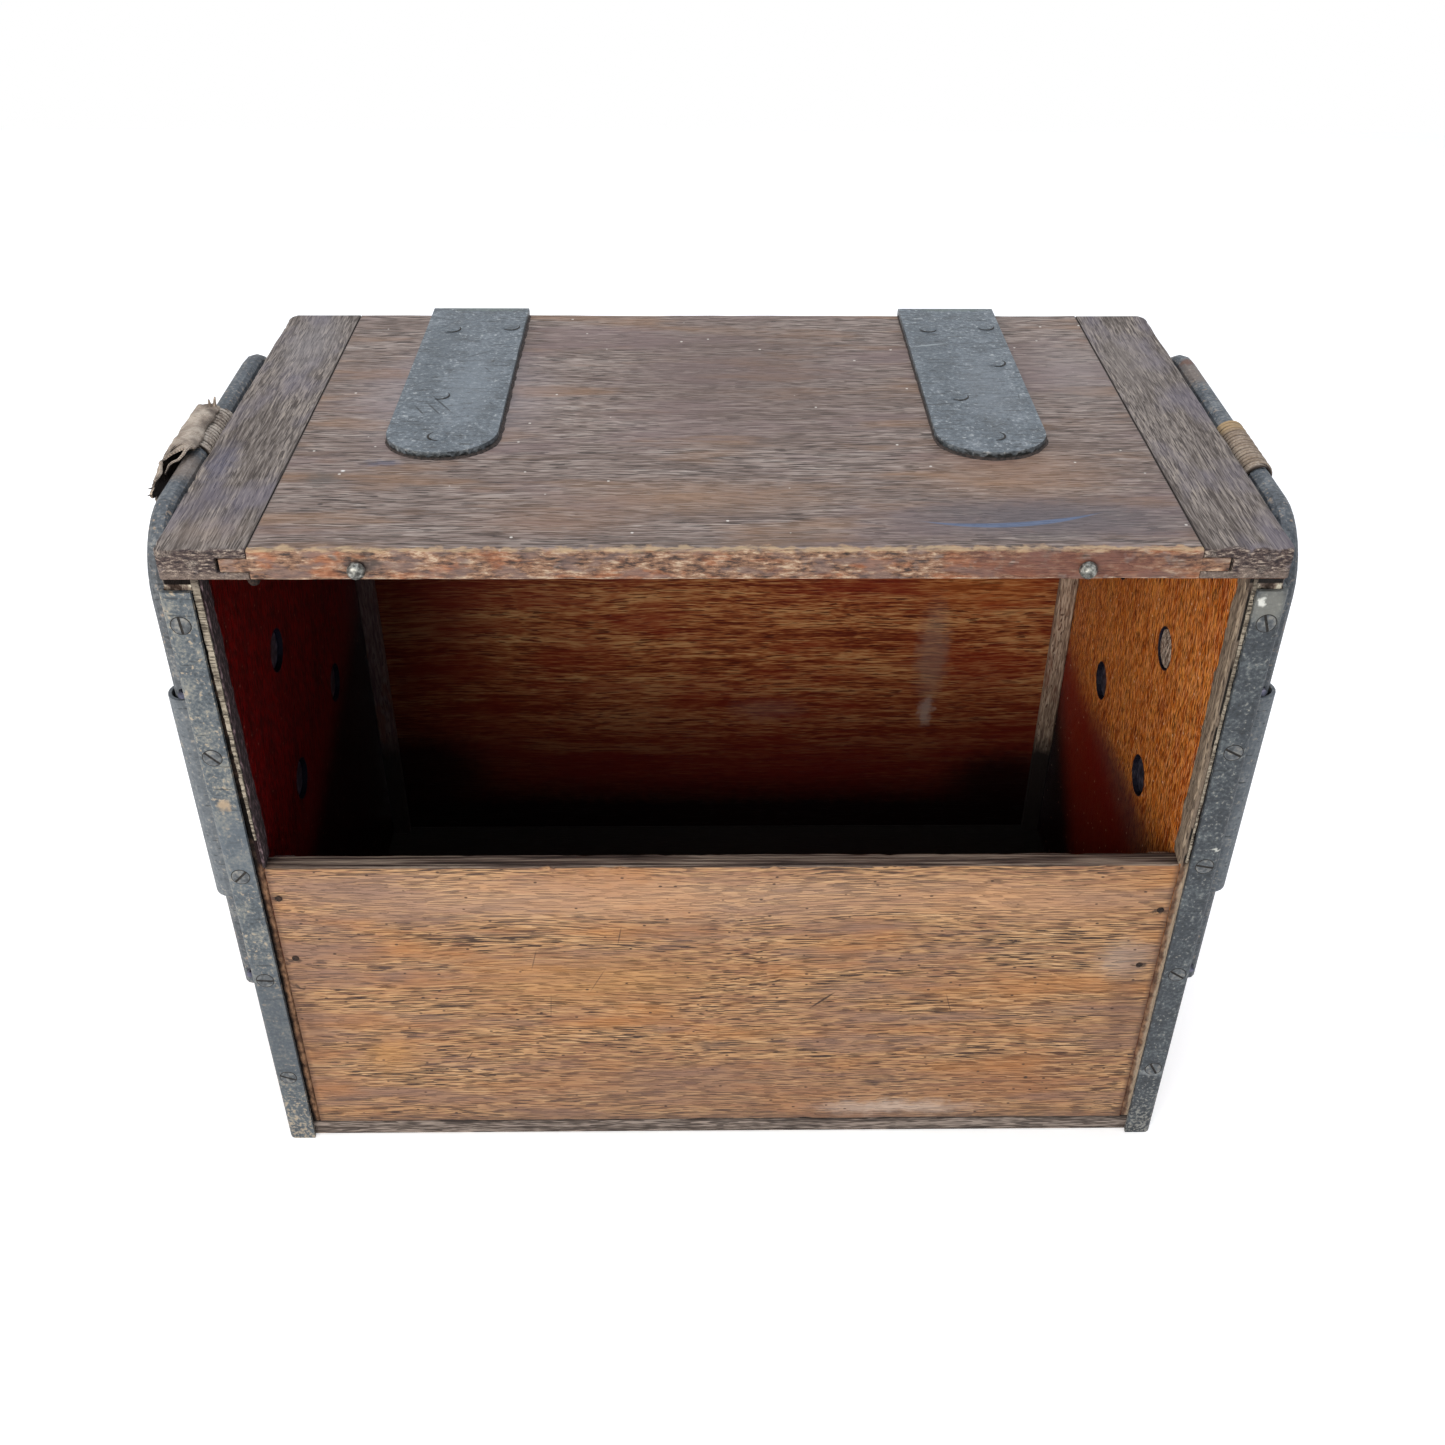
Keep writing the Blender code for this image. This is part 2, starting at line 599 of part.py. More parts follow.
def handle_line():
    """The rod's middle, from the front foot over the bar to the back foot, about the bar's middle."""
    half = HANDLE_SPAN / 2
    foot = HANDLE_FOOT_Z - HANDLE_BAR_Z
    front_bend = arc((-half + HANDLE_BEND, -HANDLE_BEND), HANDLE_BEND, 180, 90, BEND_STEPS)
    back_bend = arc((half - HANDLE_BEND, -HANDLE_BEND), HANDLE_BEND, 90, 0, BEND_STEPS)
    flat = [(-half, foot)] + front_bend + back_bend + [(half, foot)]
    return [(0, y, z) for y, z in flat]


def make_handle(side, finishes, slide):
    """A bail of round rod; cross pins above and below each eye stop it at both ends of its slide."""
    name = side + "_handle"
    mesh = rod_mesh(name, handle_line(), HANDLE_RADIUS, ROD_SIDES_RESOLUTION)
    handle = add_object(name, mesh, slide.location, finishes["handle steel"], slide)
    pin_radius = 0.0017
    pin_side_air = 0.0008
    pin_half_length = EYE_RADIUS - pin_side_air
    foot_margin = 0.006
    hole_radius = pin_radius + GAP
    heights = {
        "rest": PLATE_TOP + GAP + pin_radius,
        "stop": HANDLE_FOOT_Z + foot_margin + pin_radius,
    }
    pin_profile = [
        (0, -pin_half_length),
        (pin_radius, -pin_half_length),
        (pin_radius, pin_half_length),
        (0, pin_half_length),
    ]
    hole_reach = HANDLE_RADIUS + OVERRUN
    hole_profile = [(0, -hole_reach), (hole_radius, -hole_reach), (hole_radius, hole_reach), (0, hole_reach)]
    along_y = (math.radians(90), 0, 0)
    for end, y in (("front", -HANDLE_SPAN / 2), ("back", HANDLE_SPAN / 2)):
        for label, z in heights.items():
            place = (slide.location.x, HANDLE_CENTRE_Y + y, z)
            pin_name = f"{side}_handle_{end}_{label}_pin"
            mesh = mesh_from(pin_name, turned(pin_profile, BOLT_SIDES // 2), SHARP_ANGLE)
            pin = add_object(pin_name, mesh, place, finishes["bolt steel"], slide)
            pin.rotation_euler = along_y
            hole_name = pin_name + " hole"
            hole = make_cutter(hole_name, mesh_from(hole_name, turned(hole_profile, BOLT_SIDES // 2)), place)
            hole.rotation_euler = along_y
            cut(handle, hole)


def whipping_points(first_y, turns):
    """Middle of a cord wound round the bar: close turns with a short straight tail at each end."""
    coil_radius = HANDLE_RADIUS + GAP + CORD_RADIUS
    tail = 2 * CORD_RADIUS
    points = []
    for step in range(turns * CORD_STEPS + 1):
        angle = math.tau * step / CORD_STEPS
        points.append(Vector((
            coil_radius * math.cos(angle),
            first_y + CORD_PITCH * step / CORD_STEPS,
            coil_radius * math.sin(angle),
        )))
    way = Vector((0, CORD_PITCH / math.tau, coil_radius)).normalized()
    return [points[0] - way * tail] + points + [points[-1] + way * tail]


def least_gap(points):
    """The least air between a turn and its neighbours, measured on the cord's points."""
    least = min(
        (points[i] - points[j]).length
        for i in range(len(points))
        for j in range(i + CORD_STEPS // 2, min(i + 2 * CORD_STEPS, len(points)))
    )
    return least - 2 * CORD_RADIUS


def make_whipping(side, finishes, slide):
    """Waxed cord whipped tightly round the bar as a grip, in one unbroken length."""
    points = whipping_points(CORD_STARTS[side], CORD_TURNS[side])
    print(f"{side} whipping: {CORD_TURNS[side]} turns, least gap to itself {least_gap(points) * 1000:.2f} mm")
    name = side + "_handle_whipping"
    curve = tube_curve(name, points, CORD_RADIUS, 1)
    add_object(name, curve, slide.location, finishes["cord"], slide)


def make_grip_canvas(finishes, slide):
    """A torn flap of canvas left on the left grip: it hugs the whipping on top and bellies outward."""
    length = 0.075
    back_y = 0.0115
    thickness = 0.0016
    cord_reach = HANDLE_RADIUS + 2 * GAP + 2 * CORD_RADIUS
    belly = 0.004
    top_angle = 62
    bottom_angle = 238
    around_steps = 12
    along_shares = (0, 0.06, 0.16, 0.32, 0.5, 0.68, 0.82, 0.92, 1)
    belly_shares = (0.1, 0.3, 0.6, 0.92, 1, 1, 0.9, 0.6, 0.15)
    bm = bmesh.new()
    inner_rows = []
    outer_rows = []
    for along_share, belly_share in zip(along_shares, belly_shares):
        y = back_y - length * (1 - along_share)
        inner = []
        outer = []
        for step in range(around_steps + 1):
            share = step / around_steps
            angle = math.radians(top_angle + (bottom_angle - top_angle) * share)
            radius = cord_reach + belly * belly_share * math.sin(math.pi * share)
            inner.append(bm.verts.new((radius * math.cos(angle), y, radius * math.sin(angle))))
            outer_radius = radius + thickness
            outer.append(bm.verts.new((outer_radius * math.cos(angle), y, outer_radius * math.sin(angle))))
        inner_rows.append(inner)
        outer_rows.append(outer)
    for rows in (inner_rows, outer_rows):
        bridge_rows(bm, rows)
    for inner, outer in ((inner_rows[0], outer_rows[0]), (inner_rows[-1], outer_rows[-1])):
        bridge_rows(bm, [inner, outer])
    for edge in (0, -1):
        bridge_rows(bm, [[row[edge] for row in inner_rows], [row[edge] for row in outer_rows]])
    mesh = mesh_from("left_handle_canvas", bm, SHARP_ANGLE)
    add_object("left_handle_canvas", mesh, slide.location, finishes["canvas"], slide)


def bridge_rows(bm, rows):
    """Fills the quads between neighbouring rows of points."""
    for row, after in zip(rows, rows[1:]):
        for number in range(len(row) - 1):
            bm.faces.new((row[number], row[number + 1], after[number + 1], after[number]))


def build():
    clear_scene()
    finishes = make_finishes()
    make_bottom(finishes)
    make_front(finishes)
    make_back(finishes)
    make_fillets(finishes)
    make_corner_straps(finishes)
    hinge = add_empty("lid hinge axis", (0, HINGE_AXIS_Y, HINGE_AXIS_Z))
    panel = make_lid(finishes, hinge)
    make_studs(finishes, panel, hinge)
    for side, sign in SIDES.items():
        make_hinge(side, sign * (BODY_WIDTH / 2 - HINGE_INSETS[side]), finishes, hinge)
    make_plug(finishes)
    for side, sign in SIDES.items():
        side_board = make_side(side, finishes)
        plate = make_handle_plate(side, finishes)
        make_bolts(side, side_board, plate, finishes)
        slide = add_empty(side + " handle slide", (sign * HANDLE_X, HANDLE_CENTRE_Y, HANDLE_BAR_Z))
        make_handle(side, finishes, slide)
        make_whipping(side, finishes, slide)
        if side == "left":
            make_grip_canvas(finishes, slide)


build()
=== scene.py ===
import math
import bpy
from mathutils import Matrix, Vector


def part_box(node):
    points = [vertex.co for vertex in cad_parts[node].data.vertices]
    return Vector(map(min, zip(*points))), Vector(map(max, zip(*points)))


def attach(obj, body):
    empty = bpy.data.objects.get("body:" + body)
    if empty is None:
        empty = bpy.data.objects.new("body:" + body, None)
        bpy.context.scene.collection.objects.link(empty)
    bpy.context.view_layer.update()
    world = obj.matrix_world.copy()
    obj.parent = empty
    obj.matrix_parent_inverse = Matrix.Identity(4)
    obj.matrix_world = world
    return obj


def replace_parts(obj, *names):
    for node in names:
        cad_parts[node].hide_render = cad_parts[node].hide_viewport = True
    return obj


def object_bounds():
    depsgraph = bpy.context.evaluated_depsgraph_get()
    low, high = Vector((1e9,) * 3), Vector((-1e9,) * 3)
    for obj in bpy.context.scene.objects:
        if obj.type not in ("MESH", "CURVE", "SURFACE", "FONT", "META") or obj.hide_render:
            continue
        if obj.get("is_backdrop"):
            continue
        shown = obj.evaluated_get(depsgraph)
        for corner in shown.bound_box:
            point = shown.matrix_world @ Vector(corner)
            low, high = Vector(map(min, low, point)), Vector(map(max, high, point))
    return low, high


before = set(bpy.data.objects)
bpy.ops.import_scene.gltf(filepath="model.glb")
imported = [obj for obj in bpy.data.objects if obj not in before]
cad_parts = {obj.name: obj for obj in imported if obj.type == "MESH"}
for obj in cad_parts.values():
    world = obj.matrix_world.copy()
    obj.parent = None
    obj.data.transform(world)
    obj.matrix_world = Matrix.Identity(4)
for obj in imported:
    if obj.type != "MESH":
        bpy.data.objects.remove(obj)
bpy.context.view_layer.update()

from types import SimpleNamespace

import bmesh
import bpy
from mathutils import Matrix, Vector, noise


# Bottom board: a plain oak floor nailed up under the walls.
# It was never varnished outside; its upper face inside is near black, and its sawn edge has
# gone pale grey where it shows below the front board.

def linear(code):
    """An sRGB hex colour as a linear colour with full alpha."""
    shares = [int(code[place:place + 2], 16) / 255 for place in (1, 3, 5)]
    return (*[s / 12.92 if s <= 0.04045 else ((s + 0.055) / 1.055) ** 2.4 for s in shares], 1.0)


def add(tree, kind, *values, stops=(), **named):
    """Adds a shader node. Its inputs come in the node's own order, or by name, where _ stands for a space; a name
    in lower case is a setting. A node or socket is linked to its input, and a hex colour is made linear."""
    node = tree.nodes.new("ShaderNode" + kind)
    for name in [name for name in named if name.islower()]:
        setattr(node, name, named.pop(name))
    shown = [socket for socket in node.inputs if socket.enabled]
    given = list(zip(shown, values))
    given += [(next(s for s in shown if s.name == name.replace("_", " ")), value) for name, value in named.items()]
    for socket, value in given:
        if isinstance(value, bpy.types.Node):
            value = next(s for s in value.outputs if s.enabled)
        if isinstance(value, bpy.types.NodeSocket):
            tree.links.new(value, socket)
        else:
            socket.default_value = linear(value) if isinstance(value, str) else value
    for number, (position, code) in enumerate(stops):
        ramp = node.color_ramp.elements
        stop = ramp[number] if number < len(ramp) else ramp.new(position)
        stop.position = position
        stop.color = linear(code)
    return node


def new_finish(name):
    """An empty material, and its node tree."""
    material = bpy.data.materials.new(name)
    material.use_nodes = True
    material.node_tree.nodes.clear()
    return material, material.node_tree


def close_finish(tree, colour, roughness, height=None, depth=0.0, **more):
    """Joins a finish's colour, roughness and relief to the shader; depth is the relief's height in metres."""
    if height is not None:
        more["Normal"] = add(tree, "Bump", Height=height, Strength=1.0, Distance=depth)
    shader = add(tree, "BsdfPrincipled", colour, Roughness=roughness, **more)
    add(tree, "OutputMaterial", shader)


def laid(tree, under, over, value, start, end, cover=1.0, within=None, **ramp):
    """Lays a tone over a finish where a value has gone from start to end. Cover is how much of it shows there, and
    within is a mask that it stays in."""
    share = add(tree, "MapRange", value, start, end, To_Max=cover, **ramp)
    if within is not None:
        share = add(tree, "Math", share, within, operation="MULTIPLY")
    return add(tree, "Mix", share, under, over, data_type="RGBA")


def strayed(tree, place, by, far):
    """Places moved about by a noise, up to half of far metres each way, so that edges come out ragged."""
    off = add(tree, "VectorMath", by.outputs["Color"], (0.5, 0.5, 0.5), operation="SUBTRACT")
    return add(tree, "VectorMath", off, (far, far, far), place, operation="MULTIPLY_ADD")


def grained(tree, where, scale, detail=2.0, roughness=0.5, **mapping):
    """A noise that is drawn out; scale is how many of its waves lie in a metre on each axis."""
    local = add(tree, "Mapping", where, Scale=scale, **mapping)
    return add(tree, "TexNoise", local, Scale=1.0, Detail=detail, Roughness=roughness)


def oak(tree, along, tones, band, streak, pore, pore_tone, cover=0.8, level=0.6, seed=0.0, lean=(0, 0, 0)):
    """Sawn oak: broad bands of tone, darker and paler streaks, and short dark pores, drawn out along the grain.
    band, streak and pore are each (length, width) of one of them in metres; more pores show at a lower level.
    What comes back has split and torn too, which are a point's coordinates as they are, and ragged."""
    place = add(tree, "TexCoord").outputs["Object"]
    bent = strayed(tree, place, add(tree, "TexNoise", place, Scale=11.0, Detail=1.0), 0.006)
    bent = add(tree, "Mapping", bent, Rotation=lean)

    def drawn_out(length, width, detail):
        scale = [1 / width] * 3
        scale["XYZ".index(along)] = 1 / length
        return grained(tree, bent, scale, detail, 0.62, Location=(seed, seed / 2, seed / 3))

    bands = drawn_out(*band, 3.0)
    streaks = drawn_out(*streak, 1.4)
    holes = drawn_out(*pore, 0.5)
    fibres = drawn_out(0.0070, 0.00045, 1.0)
    crowd = add(tree, "Math", bands, 0.35, holes, operation="MULTIPLY_ADD")
    pores = add(tree, "MapRange", crowd, level + 0.185, level + 0.225)
    mixed = add(tree, "Mix", 0.5, bands, streaks, data_type="FLOAT")
    mixed = add(tree, "Mix", 0.32, mixed, fibres, data_type="FLOAT")
    mixed = add(tree, "Math", mixed, 2.1, -0.55, operation="MULTIPLY_ADD")
    wood = add(tree, "ValToRGB", mixed, stops=tones)
    covered = add(tree, "Math", pores, cover, operation="MULTIPLY")
    colour = add(tree, "Mix", covered, wood, pore_tone, data_type="RGBA")
    height = add(tree, "Math", pores, -1.0, mixed, operation="MULTIPLY_ADD")
    ragged = strayed(tree, place, add(tree, "TexNoise", place, Scale=180.0, Detail=3.0), 0.011)
    return SimpleNamespace(place=place, ragged=ragged, colour=colour, height=height, pores=pores, bands=bands,
                           split=add(tree, "SeparateXYZ", place).outputs,
                           torn=add(tree, "SeparateXYZ", ragged).outputs)


def dress(node, material):
    """Gives a CAD node, whose shape stays, its finish."""
    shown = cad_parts[node]
    shown.data.materials.clear()
    shown.data.materials.append(material)


BOTTOM_TOP_Z = 0.0094
floor_oak, tree = new_finish("unvarnished oak, sawn and dirty")
# Sawn and never finished: matt, with pale weathered fibres on the edge and a near black upper face.
wood = oak(tree, "X", [(0.34, "#322924"), (0.48, "#5d524b"), (0.62, "#8f837a")], (0.09, 0.004), (0.02, 0.0008),
           (0.010, 0.0008), "#2b211d")
colour = laid(tree, wood.colour, "#0c0606", wood.split["Z"], BOTTOM_TOP_Z - 0.0004, BOTTOM_TOP_Z)
close_finish(tree, colour, 0.85, wood.height, 0.0003)
dress("bottom_board", floor_oak)


# Back board and corner fillets: one wide oak board between the sides, varnished inside and out,
# nailed to thin upright strips of raw wood that have greyed. Inside, the varnish is painted darker
# low down: partly its own darkening, partly painted shade below the front board.

BACK_INSIDE_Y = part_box("back_board")[0].y
BACK_MIDDLE_Y = 0.112


def clouded(tree, under, where, code, size, low, high, strength, seed):
    """Lays large soft clouds of a second tone over a finish; size is one cloud's width in metres on each axis."""
    cloud = grained(tree, where, [1 / width for width in size], 3.0, 0.6, Location=(seed, seed, seed))
    return laid(tree, under, code, cloud, low, high, strength)


def stain(tree, under, where, code, centre, size, turn=(0.0, 0.0, 0.0), edge=0.7, strength=1.0):
    """Lays a soft-edged patch of colour on what is under it; size is its three half widths in metres."""
    local = add(tree, "Mapping", where, Location=centre, Rotation=turn, Scale=size, vector_type="TEXTURE")
    reach = add(tree, "VectorMath", local, operation="LENGTH")
    return laid(tree, under, code, reach, 1.0, 1.0 - edge, strength, interpolation_type="SMOOTHSTEP")


back_oak, tree = new_finish("varnished oak, darkened inside")
# Brushed varnish over oak: satin, red-brown where light reaches it, and painted deep red to nearly black near the
# floor, partly as painted shade.
wood = oak(tree, "X", [(0.32, "#58200f"), (0.45, "#804424"), (0.56, "#9e6840"), (0.68, "#b3875a")],
           (0.13, 0.008), (0.022, 0.0011), (0.012, 0.0008), "#3f1408", level=0.62, seed=3.0)
inner = clouded(tree, wood.colour, wood.place, "#74200f", (0.07, 0.07, 0.020), 0.48, 0.62, 0.55, seed=2.0)
# Darker towards the floor, deep red and then near black: partly the varnish's own darkening, partly painted shade.
for top, bottom, cover, code in ((0.135, 0.060, 0.85, "#520c0d"), (0.053, 0.028, 0.97, "#090203")):
    inner = laid(tree, inner, code, wood.torn["Z"], top, bottom, cover)
for code, x, z, half_x, half_z, cover in [
    ("#86766b", 0.1245, 0.140, 0.013, 0.046, 0.42),
    ("#a89d96", 0.1235, 0.098, 0.006, 0.014, 0.50),
    ("#5c0f0a", -0.175, 0.160, 0.060, 0.090, 0.60),
    ("#b0642a", 0.150, 0.185, 0.050, 0.022, 0.25),
    ("#7a5a52", 0.030, 0.100, 0.030, 0.010, 0.35),
    # The two near black patches low in the corners are painted shade.
    ("#120304", -0.180, 0.055, 0.060, 0.040, 0.90),
    ("#120304", 0.175, 0.045, 0.050, 0.034, 0.90),
]:
    inner = stain(tree, inner, wood.ragged, code, (x, BACK_INSIDE_Y, z), (half_x, 0.02, half_z), strength=cover)
outer = add(tree, "Mix", 0.55, wood.colour, "#8f6b4c", data_type="RGBA")
colour = laid(tree, inner, outer, wood.split["Y"], BACK_MIDDLE_Y, BACK_MIDDLE_Y + 0.001)
close_finish(tree, colour, 0.45, wood.height, 0.00015, Specular_IOR_Level=0.25)
dress("back_board", back_oak)

fillet_wood, tree = new_finish("raw softwood, greyed")
# Split softwood without varnish: pale and hairy above, black below about 80 mm.
wood = oak(tree, "Z", [(0.34, "#6a574b"), (0.50, "#94816f"), (0.64, "#b3a190")], (0.04, 0.004), (0.008, 0.0009),
           (0.004, 0.0008), "#4a2c20", level=0.66, seed=5.0)
colour = laid(tree, wood.colour, "#452a34", wood.split["X"], 0.01, -0.01, 0.75)
colour = clouded(tree, colour, wood.place, "#6b3a26", (0.010, 0.010, 0.030), 0.54, 0.62, 0.5, seed=8.0)
colour = laid(tree, colour, "#140806", wood.torn["Z"], 0.088, 0.070)
close_finish(tree, colour, 0.9, wood.height, 0.0005)
for end in ("front", "back"):
    for side in ("left", "right"):
        dress(f"{end}_{side}_fillet", fillet_wood)


# Side boards: oak with upright grain, varnished on both faces, with four round recesses inside for
# the heads of the plate's bolts. The front's upper half was torn off them and left a ragged scar.

SIGNS = {"left": -1, "right": 1}
INNER_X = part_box("right_side_board")[0].x
BOARD_FRONT_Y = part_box("right_side_board")[0].y
BOARD_TOP_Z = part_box("right_side_board")[1].z
FRONT_TOP_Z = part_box("front_board")[1].z
SIDE_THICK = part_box("right_side_board")[1].x - INNER_X
bolt_low, bolt_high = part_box("right_lower_front_bolt")
last_low, last_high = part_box("right_upper_back_bolt")
BOLTS_MIDDLE = (bolt_low + last_high) / 2
BOLTS_APART = (last_low - bolt_low) / 2
RECESS_RADIUS = (bolt_high.y - bolt_low.y) / 2 + 0.0003

# Both walls have one varnish; the left wall stands in the lamp's shade, so its copy is painted darker: dark red tones,
# fewer pale hairs and flecks, less sheen and a black rim by the strap. That is painted shade.
SIDE_FINISHES_LEFT_IN_SHADE = {
    "left": {"tones": [(0.36, "#350002"), (0.48, "#620204"), (0.60, "#780708")], "pore": "#240001",
             "hair": "#8c4a46", "fleck": 0.22, "sheen": 0.06, "purple": 0.2, "bared": "#231719", "rim": "#17110f",
             "deep": "#5c0c06", "deep_red_and_shade": (-0.30, 0.195, 0.135), "black_shade": (-0.30, 0.171, 0.128)},
    "right": {"tones": [(0.34, "#83340a"), (0.47, "#bf6216"), (0.60, "#df9040")], "pore": "#3c1304",
              "hair": "#eaa066", "fleck": 0.80, "sheen": 0.18, "purple": 0.8, "bared": "#74675a", "rim": "#a3927e",
              "deep": "#7c1107", "deep_red_and_shade": (-0.11, 0.154, 0.122), "black_shade": (-0.80, 0.058, 0.000)},
}
for side, sign in SIGNS.items():
    side_oak, tree = new_finish(f"varnished oak with upright grain, {side}")
    # Brushed varnish over upright hair-like fibres: glossy streaks, painted deep red and then black low at the back,
    # partly as painted shade.
    finish = SIDE_FINISHES_LEFT_IN_SHADE[side]
    wood = oak(tree, "Z", finish["tones"], (0.05, 0.009), (0.006, 0.0009), (0.0045, 0.0006), finish["pore"],
               level=0.56, seed=7.0 + sign, lean=(0.24, 0.0, 0.0))
    inner = wood.colour
    for lean, code, cover in ((-0.30, finish["pore"], 0.80), (0.10, finish["hair"], finish["fleck"])):
        hairs = grained(tree, wood.place, (1500, 1500, 210), 1.0, Rotation=(lean, 0, 0), Location=(lean, lean, lean))
        inner = laid(tree, inner, code, hairs, 0.555, 0.645, cover)
    inner = stain(tree, inner, wood.ragged, "#552c34", (sign * INNER_X, -0.020, 0.138), (0.02, 0.105, 0.028),
                  turn=(-0.08, 0.0, 0.0), strength=finish["purple"])
    # Low down the wall is painted deep red, partly its own colour and partly painted shade, and then near black, which
    # is painted shade.
    for (slope, start, end), code, cover in ((finish["deep_red_and_shade"], finish["deep"], 0.92),
                                             (finish["black_shade"], "#0c0204", 0.97)):
        depth = add(tree, "Math", wood.torn["Y"], slope, wood.torn["Z"], operation="MULTIPLY_ADD")
        inner = laid(tree, inner, code, depth, start, end, cover, interpolation_type="SMOOTHSTEP")
    flecks = add(tree, "TexVoronoi", wood.place, Scale=150.0)
    inner = laid(tree, inner, "#e0bfa4", flecks.outputs["Distance"], 0.11, 0.06, finish["fleck"])
    # Each recess is painted blue-black right up to its rim: painted shade in the hollow.
    folded = [wood.split["Y"], wood.split["Z"]]
    for axis, (middle, apart) in enumerate(((BOLTS_MIDDLE.y, BOLTS_APART.y), (BOLTS_MIDDLE.z, BOLTS_APART.z))):
        off = add(tree, "Math", folded[axis], middle, operation="SUBTRACT")
        off = add(tree, "Math", off, operation="ABSOLUTE")
        folded[axis] = add(tree, "Math", off, apart, operation="SUBTRACT")
    flat = add(tree, "CombineXYZ", Y=folded[0], Z=folded[1])
    from_bolt = add(tree, "VectorMath", flat, operation="LENGTH")
    rim = add(tree, "MapRange", from_bolt, RECESS_RADIUS + 0.0006, RECESS_RADIUS + 0.0001,
              interpolation_type="SMOOTHSTEP")
    inner = add(tree, "Mix", rim, inner, "#191824", data_type="RGBA")
    across = add(tree, "Math", wood.split["X"], sign, operation="MULTIPLY")
    outer = add(tree, "ValToRGB", wood.bands, stops=[(0.34, "#6d4a30"), (0.50, "#9a7048"), (0.64, "#b58c60")])
    open_pores = add(tree, "Math", wood.pores, 0.55, operation="MULTIPLY")
    outer = add(tree, "Mix", open_pores, outer, "#4a2f1c", data_type="RGBA")
    # The recess's walls through the board take the same painted shade.
    outer = laid(tree, outer, "#191824", across, INNER_X + SIDE_THICK * 0.45, INNER_X + SIDE_THICK * 0.35, within=rim)
    colour = laid(tree, inner, outer, across, INNER_X + 0.0018, INNER_X + 0.0022)
    # The sawn front edge: dark beside the strap, which is painted shade; dirt in its cracks; grey-brown beside the scar
    # on the right; golden by the front board.
    edge_noise = add(tree, "TexNoise", wood.place, Scale=260.0, Detail=4.0)
    edge = add(tree, "ValToRGB", edge_noise, stops=[(0.40, "#14100e"), (0.66, "#3d3029")])
    edge = laid(tree, edge, finish["bared"], across, INNER_X + 0.0021, INNER_X + 0.0015)
    gaps = add(tree, "TexNoise", wood.place, Scale=42.0, Detail=2.0)
    by_splinter = add(tree, "MapRange", across, INNER_X + 0.0008, INNER_X + 0.0012)
    edge = laid(tree, edge, "#0d0a08", gaps, 0.49, 0.52, within=by_splinter)
    low_edge = add(tree, "ValToRGB", edge_noise, stops=[(0.40, "#523c2f"), (0.64, "#86674f")])
    across_torn = add(tree, "Math", wood.torn["X"], sign, operation="MULTIPLY")
    frayed_off = add(tree, "Mix", 0.25, across, across_torn, data_type="FLOAT")
    # Low down it shades into the rim tone towards the strap: on the left a black that is painted shade, on the right a
    # pale line.
    low_edge = laid(tree, low_edge, finish["rim"], frayed_off, INNER_X + 0.0016, INNER_X + 0.0029)
    edge = laid(tree, edge, low_edge, wood.torn["Z"], FRONT_TOP_Z + 0.004, FRONT_TOP_Z - 0.002)
    frayed = add(tree, "MapRange", wood.split["Y"], BOARD_FRONT_Y + 0.0008, BOARD_FRONT_Y + 0.0004)
    colour = add(tree, "Mix", frayed, colour, edge, data_type="RGBA")
    cap_tone = add(tree, "ValToRGB", edge_noise,
                   stops=[(0.38, "#3a2f29"), (0.48, "#6f625a"), (0.56, "#9c9182"), (0.64, "#d2cdbb")])
    cap_tone = laid(tree, cap_tone, "#40362f", across, INNER_X + 0.0038, INNER_X + 0.0030, 0.75)
    in_front = add(tree, "MapRange", wood.torn["Y"], BOARD_FRONT_Y + 0.009, BOARD_FRONT_Y + 0.005)
    colour = laid(tree, colour, cap_tone, wood.torn["Z"], BOARD_TOP_Z - 0.007, BOARD_TOP_Z - 0.0045, within=in_front)
    # Under the lid a thin dark line is painted along the board's top: painted shadow in the gap.
    lid_gap_shadow = add(tree, "MapRange", wood.split["Z"], BOARD_TOP_Z - 0.0013, BOARD_TOP_Z - 0.0008)
    # In front, under the lid's overhang, a black line is painted along the top of the board: painted shadow of the
    # overhang.
    overhang_shadow = add(tree, "MapRange", wood.split["Z"], BOARD_TOP_Z - 0.0036, BOARD_TOP_Z - 0.0031)
    overhang_shadow = add(tree, "Math", overhang_shadow, frayed, operation="MULTIPLY")
    lid_gap_shadow = add(tree, "Math", lid_gap_shadow, overhang_shadow, operation="MAXIMUM")
    colour = add(tree, "Mix", lid_gap_shadow, colour, "#120d0b", data_type="RGBA")
    close_finish(tree, colour, 0.50, wood.height, 0.0005, Specular_IOR_Level=finish["sheen"])
    dress(side + "_side_board", side_oak)


def corner_arc(corner, before, after, radius, steps):
    """Points and outward normals round a square corner that is worn to a radius."""
    back = (before - corner).normalized()
    forth = (after - corner).normalized()
    convex = 1 if (-back).cross(forth) > 0 else -1
    centre = corner + radius * (back + forth)
    ring = []
    for step in range(steps + 1):
        angle = math.pi / 2 * step / steps
        way = -(forth * math.cos(angle) + back * math.sin(angle))
        ring.append((centre + radius * way, convex * way))
    return ring


